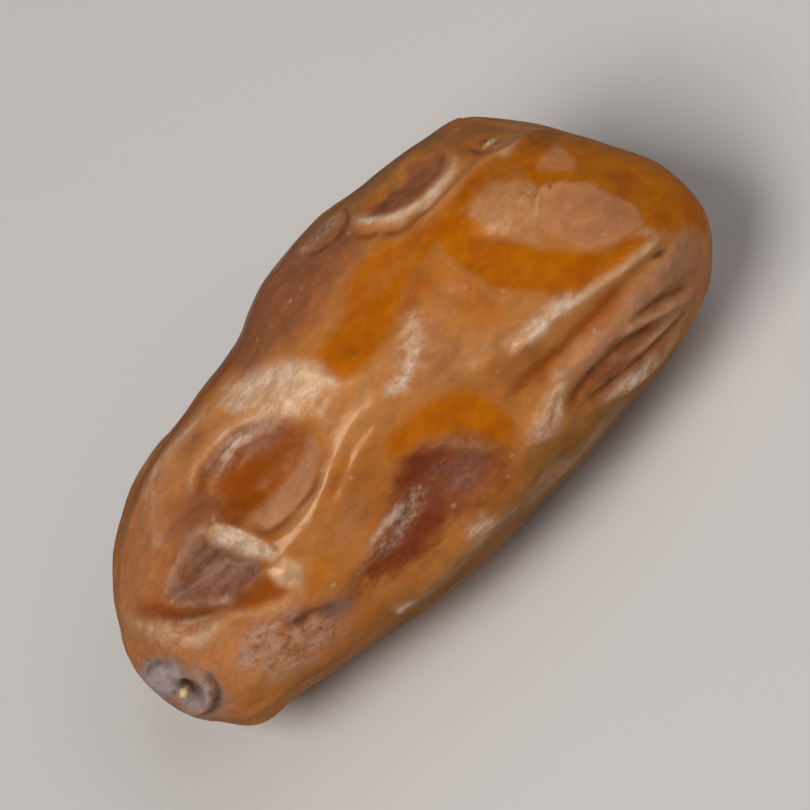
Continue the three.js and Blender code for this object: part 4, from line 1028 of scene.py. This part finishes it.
class Shading:
    """Builds one material's nodes."""

    def __init__(self, name: str) -> None:
        """Starts a material with an empty node tree.

        Args:
            name: the material's name.
        """
        self.material = bpy.data.materials.new(name)
        self.material.use_nodes = True
        self.tree = self.material.node_tree
        self.tree.nodes.clear()

    def node(self, kind: str, settings: dict, inputs: dict, output: int | str = 0) -> Sock:
        """Adds a node.

        Args:
            kind: the node's type name.
            settings: the node's own properties, set first.
            inputs: a value or a Sock for each input, by name or number.
            output: which output to return.

        Returns:
            The chosen output.
        """
        made = self.tree.nodes.new(kind)
        for key, value in settings.items():
            setattr(made, key, value)
        for key, value in inputs.items():
            if isinstance(value, Sock):
                self.tree.links.new(value.socket, made.inputs[key])
            else:
                made.inputs[key].default_value = value
        return Sock(self, made.outputs[output])

    def attribute(self, name: str) -> Sock:
        """A mask stored on the mesh."""
        return self.node("ShaderNodeAttribute", {"attribute_name": name}, {}, "Fac")

    def place(self, scale: tuple[float, float, float] = (1, 1, 1)) -> Sock:
        """The point on the object, in millimetres, stretched by a scale.

        Args:
            scale: factors along the three axes.

        Returns:
            The stretched point.
        """
        point = self.node("ShaderNodeTexCoord", {}, {}, "Object")
        factor = tuple(s / MM for s in scale)
        return self.node("ShaderNodeVectorMath", {"operation": "MULTIPLY"}, {0: point, 1: factor})

    def noise(self, place: Sock, scale: float, detail: float = 2.0, roughness: float = 0.5) -> Sock:
        """Soft noise with features about 1 / scale millimetres across."""
        inputs = {"Vector": place, "Scale": scale, "Detail": detail, "Roughness": roughness}
        return self.node("ShaderNodeTexNoise", {}, inputs, "Fac")

    def dots(self, place: Sock, scale: float) -> Sock:
        """Distance to the nearest of scattered points, about 1 / scale millimetres apart."""
        return self.node("ShaderNodeTexVoronoi", {"feature": "F1"}, {"Vector": place, "Scale": scale}, "Distance")

    def mix(self, share: Sock | float, first: Sock | tuple, second: Sock | tuple) -> Sock:
        """Mixes two colours."""
        return self.node("ShaderNodeMix", {"data_type": "RGBA"}, {0: share, 6: first, 7: second}, 2)

    def finish(self, surface: Sock) -> bpy.types.Material:
        """Sends a shader to the output.

        Args:
            surface: the shader.

        Returns:
            The material.
        """
        output = self.tree.nodes.new("ShaderNodeOutputMaterial")
        self.tree.links.new(surface.socket, output.inputs["Surface"])
        return self.material


@dataclass(frozen=True)
class DateSkin:
    """Finish of the fruit: translucent amber flesh under a thin satin skin."""

    tan: Colour = (0.54, 0.21, 0.05, 1)
    tan_dark: Colour = (0.41, 0.14, 0.03, 1)
    amber: Colour = (0.53, 0.155, 0.0, 1)
    amber_deep: Colour = (0.44, 0.108, 0.0, 1)
    # Olive for the painted shade low on the fruit
    olive: Colour = (0.22, 0.10, 0.02, 1)
    # Maroon skin, also used as painted shade in sunken places and on the upper flank
    maroon: Colour = (0.2, 0.035, 0.012, 1)
    # Deep red-orange for the painted glow and shade in hollows, creases and along the top edge
    ember: Colour = (0.33, 0.072, 0.0, 1)
    # Pinkish loose skin, also the colour of the painted satin sheen
    loose: Colour = (0.58, 0.25, 0.105, 1)
    # Mauve: the loose skin as it looks in shade, used as painted shade
    mauve: Colour = (0.27, 0.1, 0.058, 1)
    # Red-brown for the painted shade in creases and furrows
    russet: Colour = (0.19, 0.045, 0.01, 1)
    bloom: Colour = (0.55, 0.345, 0.26, 1)
    # Pale skin, also the colour of the painted highlights and sheen
    pale: Colour = (0.62, 0.40, 0.25, 1)
    # Whitish colour of the painted highlights
    glint: Colour = (0.84, 0.69, 0.57, 1)
    scar: Colour = (0.32, 0.2, 0.16, 1)
    lilac: Colour = (0.36, 0.31, 0.34, 1)
    ash: Colour = (0.56, 0.5, 0.5, 1)
    cork: Colour = (0.54, 0.36, 0.24, 1)
    # Near black for the painted shade in pits and grooves, and for dark specks in the crust
    umber: Colour = (0.07, 0.028, 0.02, 1)
    cream: Colour = (0.85, 0.62, 0.28, 1)
    fibre: Colour = (0.7, 0.5, 0.3, 1)
    sheen: Colour = (1, 0.8, 0.55, 1)
    # How much light passes the skin, how deep it goes, and the share of that for red, green and blue
    flesh_share: float = 0.45
    flesh_depth_mm: float = 1.5
    flesh_reach: tuple[float, float, float] = (1.0, 0.4, 0.1)
    # Noises: features to the millimetre, detail and roughness
    cloud: tuple[float, ...] = (0.15, 2)
    blotch: tuple[float, ...] = (0.5, 3, 0.6)
    mottle: tuple[float, ...] = (1.3, 3, 0.55)
    flake: tuple[float, ...] = (1.5, 5, 0.7)
    speck: tuple[float, ...] = (2.2, 3, 0.6)
    fine: tuple[float, ...] = (4.5, 3, 0.65)
    grain: tuple[float, ...] = (7.0, 2)
    # The noises are drawn out along the fruit, and this many painted pinpoint highlights go to the millimetre
    stretch: tuple[float, ...] = (0.65, 1, 1)
    speck_scale: float = 0.75
    speck_edge: tuple[float, ...] = (0.07, 0.15)
    # How much noise breaks up the edges of the tints, and of the maroon floors
    edge_break: float = 1.2
    floor_break: float = 2.2
    base_roughness: float = 0.28
    coat_share: float = 0.14
    coat_roughness: float = 0.12
    bump_strength: float = 0.6
    bump_height_mm: float = 0.1
    refraction: float = 1.46

    def build(self) -> bpy.types.Material:
        """Makes the material, from a base tan up to the scars' crust and the gloss over all.

        Returns:
            The finished material.
        """
        s = Shading("date_skin")
        place = s.place()
        long_place = s.place(self.stretch)
        cloud, grain = s.noise(place, *self.cloud), s.noise(place, *self.grain)
        blotch, speck = s.noise(long_place, *self.blotch), s.noise(long_place, *self.speck)
        flake, fine = s.noise(long_place, *self.flake), s.noise(long_place, *self.fine)
        masks = {tint: self.broken(s.attribute(tint.value), speck, self.edge_break) for tint in Tint}
        flakes, mottled = flake.ramp(0.4, 0.62), 0.5 + 0.5 * speck.ramp(0.4, 0.6)
        loose_skin = masks[LOOSE] + masks[MAUVE] + masks[PALE]
        film = masks[BLOOM] * flakes * (0.5 + fine).clamped()
        # Painted highlights, broken up by noise
        glints = masks[GLINT] * (0.25 + 0.75 * flake.ramp(0.36, 0.64)) * (0.8 + 0.2 * fine.ramp(0.4, 0.65))
        # Sparse pale dots: painted pinpoint highlights, kept off the amber
        dots = 1 - (s.dots(place, self.speck_scale) + 0.25 * (fine - 0.5)).ramp(*self.speck_edge)
        specks = dots * blotch.ramp(0.48, 0.6) * (1 - masks[AMBER])
        crust = masks[SCAR]
        # Each layer lies over those before it: where it shows, and its colour
        layers = (
            ((cloud * 0.6 + blotch * 0.4).ramp(0.4, 0.62), self.tan_dark),
            (masks[AMBER], s.mix(blotch.ramp(0.4, 0.65), self.amber, self.amber_deep)),
            # painted shade low on the fruit
            (masks[OLIVE], self.olive),
            # maroon skin and painted shade
            (self.broken(s.attribute(MAROON.value), flake, self.floor_break), self.maroon),
            # loose skin and painted sheen
            (masks[LOOSE] * (0.75 + 0.35 * speck), self.loose),
            # dull skin and painted shade
            (masks[MAUVE] * (0.7 + 0.4 * speck), self.mauve),
            # painted glow and shade
            (masks[EMBER], self.ember),
            # painted shade in creases
            (masks[RUSSET], self.russet),
            (masks[BLOOM] * fine.ramp(0.52, 0.62) * 0.85, self.russet),
            (film, self.bloom),
            # pale skin and painted highlights and sheen
            (masks[PALE] * (0.6 + 0.4 * flakes), self.pale),
            # painted pinpoint highlights
            (specks * 0.5, self.pale),
            # painted highlights
            (glints, self.glint),
            (crust * mottled, self.scar),
            (masks[LILAC] * mottled, s.mix(fine.ramp(0.5, 0.64), self.lilac, self.ash)),
            (crust * fine.ramp(0.56, 0.66) * 0.5, self.umber),
            (masks[CORK], s.mix(fine.ramp(0.5, 0.62), self.cork, self.umber)),
            (masks[FIBRE], s.mix(fine.ramp(0.4, 0.6), self.fibre, self.cork)),
            # painted shade in pits and grooves
            (masks[UMBER], self.umber),
            (masks[CREAM], self.cream),
        )
        colour = self.tan
        for share, tone in layers:
            colour = s.mix(share, colour, tone)
        shade = (0.73 + 0.54 * s.noise(long_place, *self.mottle)) * (0.96 + 0.08 * grain)
        colour = s.node("ShaderNodeVectorMath", {"operation": "SCALE"}, {0: colour, "Scale": shade})
        # Film, crust and the deep places are duller than the rest, and the amber is smoother
        dull = (masks[MAUVE] + 1.6 * masks[MATT]).clamped()
        roughness = self.base_roughness - 0.03 * masks[AMBER] + 0.05 * loose_skin + 0.15 * film + 0.2 * crust
        roughness = roughness + 0.15 * dull + 0.14 * masks[EMBER] + 0.2 * masks[MATT]
        coat = self.coat_share * (1 - 0.8 * film) * (1 - 0.8 * crust) * (1 - 0.9 * masks[EMBER]) * (1 - 0.9 * dull)
        height = speck * (0.15 + 0.6 * loose_skin) + fine * (0.08 + 0.6 * masks[GLINT]) + 0.08 * grain
        bump = s.node("ShaderNodeBump", {}, {
            "Strength": self.bump_strength, "Distance": self.bump_height_mm * MM, "Height": height}, "Normal")
        radius = tuple(self.flesh_depth_mm * MM * share for share in self.flesh_reach)
        return s.finish(s.node("ShaderNodeBsdfPrincipled", {}, {
            "Base Color": colour, "Roughness": roughness, "Normal": bump, "IOR": self.refraction,
            "Subsurface Weight": self.flesh_share, "Subsurface Radius": radius, "Subsurface Scale": 1.0,
            "Coat Weight": coat, "Coat Roughness": self.coat_roughness, "Specular Tint": self.sheen,
        }))

    @staticmethod
    def broken(mask: Sock, noise_value: Sock, amount: float) -> Sock:
        """A mask whose edge, between 0 and 1, is broken up by noise."""
        return (mask + mask * (1 - mask) * (noise_value - 0.5) * (4 * amount)).clamped()


@dataclass
class DateFruit:
    """The fruit's fine skin, in place of the plain solid."""

    body: FruitBody = field(default_factory=FruitBody)
    # Cells along each axis, as steps that multiply, because one step makes no more than 101
    cells: tuple[tuple[int, ...], ...] = ((2, 101), (2, 55), (80,))
    node: str = "date_fruit"

    def build(self) -> bpy.types.Object:
        """Models the fruit and dresses it.

        Returns:
            The finished piece, in place.
        """
        piece = self.blank()
        relief = SkinRelief(self.body)
        mesh = piece.data
        points = self.body.points(self.directions(mesh))
        self.move(mesh, points)
        normals = np.empty(len(mesh.vertices) * 3)
        mesh.vertices.foreach_get("normal", normals)
        normals = normals.reshape(-1, 3)
        tints = relief.tints(points)
        height = relief.folds(points) + relief.hollows(points) + relief.wrinkles(points)
        height += relief.swell(points) + relief.crinkles(points, tints)
        height += relief.stem(points)
        for tint, share in tints.items():
            self.store(mesh, tint.value, share)
        laid = self.body.laid_down(points + normals * height[:, None])
        self.move(mesh, self.placed(laid))
        self.finish(piece)
        return piece

    def blank(self) -> bpy.types.Object:
        """A cube cut into cells, most of them along the fruit and over its broad side.

        Returns:
            The cube, with its faces pointing outwards.
        """
        bpy.ops.object.select_all(action="DESELECT")
        bpy.ops.mesh.primitive_cube_add(size=2)
        piece = bpy.context.object
        piece.name = "date_skin"
        for axis, steps in enumerate(self.cells):
            for cells in steps:
                self.cut(piece, axis, cells)
        bpy.ops.object.mode_set(mode="EDIT")
        bpy.ops.mesh.select_all(action="SELECT")
        bpy.ops.mesh.normals_make_consistent(inside=False)
        bpy.ops.object.mode_set(mode="OBJECT")
        log.info("blank of %d faces", len(piece.data.polygons))
        return piece

    @staticmethod
    def cut(piece: bpy.types.Object, axis: int, cells: int) -> None:
        """Cuts the cube into cells along one axis.

        Args:
            piece: the cube, which is the active object.
            axis: the axis that the cut edges run along.
            cells: how many cells each of those edges becomes.
        """
        bpy.ops.object.mode_set(mode="EDIT")
        bpy.ops.mesh.select_mode(type="EDGE")
        bpy.ops.mesh.select_all(action="DESELECT")
        bpy.ops.object.mode_set(mode="OBJECT")
        corners = piece.data.vertices
        for edge in piece.data.edges:
            first, last = (corners[i].co[axis] for i in edge.vertices)
            edge.select = abs(first - last) > TINY
        bpy.ops.object.mode_set(mode="EDIT")
        bpy.ops.mesh.subdivide(number_cuts=cells - 1)
        bpy.ops.object.mode_set(mode="OBJECT")

    @staticmethod
    def directions(mesh: bpy.types.Mesh) -> np.ndarray:
        """Unit directions through the cube's vertices, spaced evenly.

        Args:
            mesh: the cut cube.

        Returns:
            The directions, one row each.
        """
        cube = np.empty(len(mesh.vertices) * 3)
        mesh.vertices.foreach_get("co", cube)
        spread = np.tan(cube.reshape(-1, 3) * math.pi / 4)
        return spread / np.linalg.norm(spread, axis=1, keepdims=True)

    @staticmethod
    def move(mesh: bpy.types.Mesh, points: np.ndarray) -> None:
        """Moves the vertices to points."""
        mesh.vertices.foreach_set("co", np.ascontiguousarray(points, np.float32).ravel())
        mesh.update()

    @staticmethod
    def store(mesh: bpy.types.Mesh, name: str, values: np.ndarray) -> None:
        """Stores one value for each vertex."""
        mesh.attributes.new(name, "FLOAT", "POINT").data.foreach_set("value", values.astype(np.float32))

    def placed(self, laid: np.ndarray) -> np.ndarray:
        """Moves the fruit over the middle of its solid's box, and turns millimetres to metres.

        Args:
            laid: points of the fruit as it lies, one row each.

        Returns:
            The points in the frame.
        """
        low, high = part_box(self.node)
        middle = (laid.min(0) + laid.max(0)) / 2
        shift = np.array([(low.x + high.x) / 2, (low.y + high.y) / 2, low.z]) / MM
        return (laid - [middle[0], middle[1], 0] + shift) * MM

    def finish(self, piece: bpy.types.Object) -> None:
        """Smooths the shading, dresses the piece and fits it to the frame.

        Args:
            piece: the modelled fruit.
        """
        bpy.ops.object.select_all(action="DESELECT")
        piece.select_set(True)
        bpy.context.view_layer.objects.active = piece
        bpy.ops.object.shade_smooth()
        piece.data.materials.append(DateSkin().build())
        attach(piece, "root")
        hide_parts(self.node)


@dataclass
class Studio:
    """Floor, light and camera."""

    floor_size: float = 4.0
    elevation_deg: float = 53.0
    roll_deg: float = 46.3
    camera_distance: float = 0.39
    frame_width: float = 0.047
    target: tuple[float, float, float] = (0.00083, -0.00047, 0.0089)
    key_power: float = 2.55
    key_size: float = 0.3
    key_colour: tuple[float, float, float] = (1.0, 0.95, 0.88)
    key_direction: tuple[float, float, float] = (-0.42, -0.27, 0.865)
    fill_power: float = 1.8
    fill_size: float = 0.9
    fill_direction: tuple[float, float, float] = (0.78, -0.2, 0.6)
    light_distance: float = 0.6
    floor_tones: tuple[Colour, Colour] = ((0.64, 0.64, 0.65, 1), (0.68, 0.68, 0.69, 1))
    floor_clouds: tuple[float, ...] = (0.01, 1)
    floor_roughness: float = 0.8
    surround_colour: Colour = (1.0, 0.9, 0.8, 1)
    surround_strength: float = 0.08

    def axes(self) -> tuple[Vector, Vector, Vector]:
        """The fruit's length, the way across its broad side and the way to the camera.

        Returns:
            Three unit vectors.
        """
        tilt = math.radians(self.elevation_deg)
        along = Vector((1, 0, 0))
        towards = Vector((0, -math.cos(tilt), math.sin(tilt)))
        return along, towards.cross(along), towards

    def build_floor(self) -> None:
        """A plain pale floor."""
        bpy.ops.object.select_all(action="DESELECT")
        bpy.ops.mesh.primitive_plane_add(size=self.floor_size)
        floor = bpy.context.object
        floor.name = "floor"
        s = Shading("floor_paint")
        colour = s.mix(s.noise(s.place(), *self.floor_clouds), *self.floor_tones)
        paint = s.node("ShaderNodeBsdfPrincipled", {}, {"Base Color": colour, "Roughness": self.floor_roughness})
        floor.data.materials.append(s.finish(paint))
        floor.visible_glossy = False

    def build_lights(self) -> None:
        """A soft key light, a broad fill that leaves no reflection, and a dim surround."""
        world = bpy.data.worlds.new("surround")
        bpy.context.scene.world = world
        world.use_nodes = True
        sky = world.node_tree.nodes["Background"]
        sky.inputs["Color"].default_value = self.surround_colour
        sky.inputs["Strength"].default_value = self.surround_strength
        self.area("key", self.key_direction, self.key_size, self.key_power).data.color = self.key_colour
        self.area("fill", self.fill_direction, self.fill_size, self.fill_power).visible_glossy = False

    def area(self, name: str, direction: tuple, size: float, power: float) -> bpy.types.Object:
        """Adds a square soft light that points at the fruit.

        Args:
            name: the light's name.
            direction: the way from the fruit to the light.
            size: the length of its sides.
            power: its power in watts.

        Returns:
            The light.
        """
        data = bpy.data.lights.new(name, "AREA")
        data.size = size
        data.energy = power
        lamp = bpy.data.objects.new(name, data)
        bpy.context.scene.collection.objects.link(lamp)
        away = Vector(direction).normalized()
        turn = away.to_track_quat("Z", "Y").to_matrix().to_4x4()
        lamp.matrix_world = Matrix.Translation(Vector(self.target) + away * self.light_distance) @ turn
        return lamp

    def build_camera(self) -> None:
        """The camera, turned so that the fruit runs from lower left to upper right."""
        along, across, towards = self.axes()
        roll = math.radians(self.roll_deg)
        right = math.cos(roll) * along - math.sin(roll) * across
        up = math.sin(roll) * along + math.cos(roll) * across
        data = bpy.data.cameras.new("camera")
        data.lens = data.sensor_width * self.camera_distance / self.frame_width
        camera = bpy.data.objects.new("camera", data)
        bpy.context.scene.collection.objects.link(camera)
        turn = Matrix((right, up, towards)).transposed().to_4x4()
        camera.matrix_world = Matrix.Translation(Vector(self.target) + towards * self.camera_distance) @ turn
        bpy.context.scene.camera = camera

    def build(self) -> None:
        """Sets up the whole studio."""
        self.build_camera()
        self.build_floor()
        self.build_lights()
        bpy.context.scene.view_settings.view_transform = "Standard"


def main() -> None:
    """Builds the studio and the fruit, and reports the pieces."""
    logging.basicConfig(level=logging.INFO, format="%(name)s: %(message)s")
    Studio().build()
    fruit = DateFruit().build()
    log.info("%s: %d faces", fruit.name, len(fruit.data.polygons))


if __name__ == "__main__":
    main()
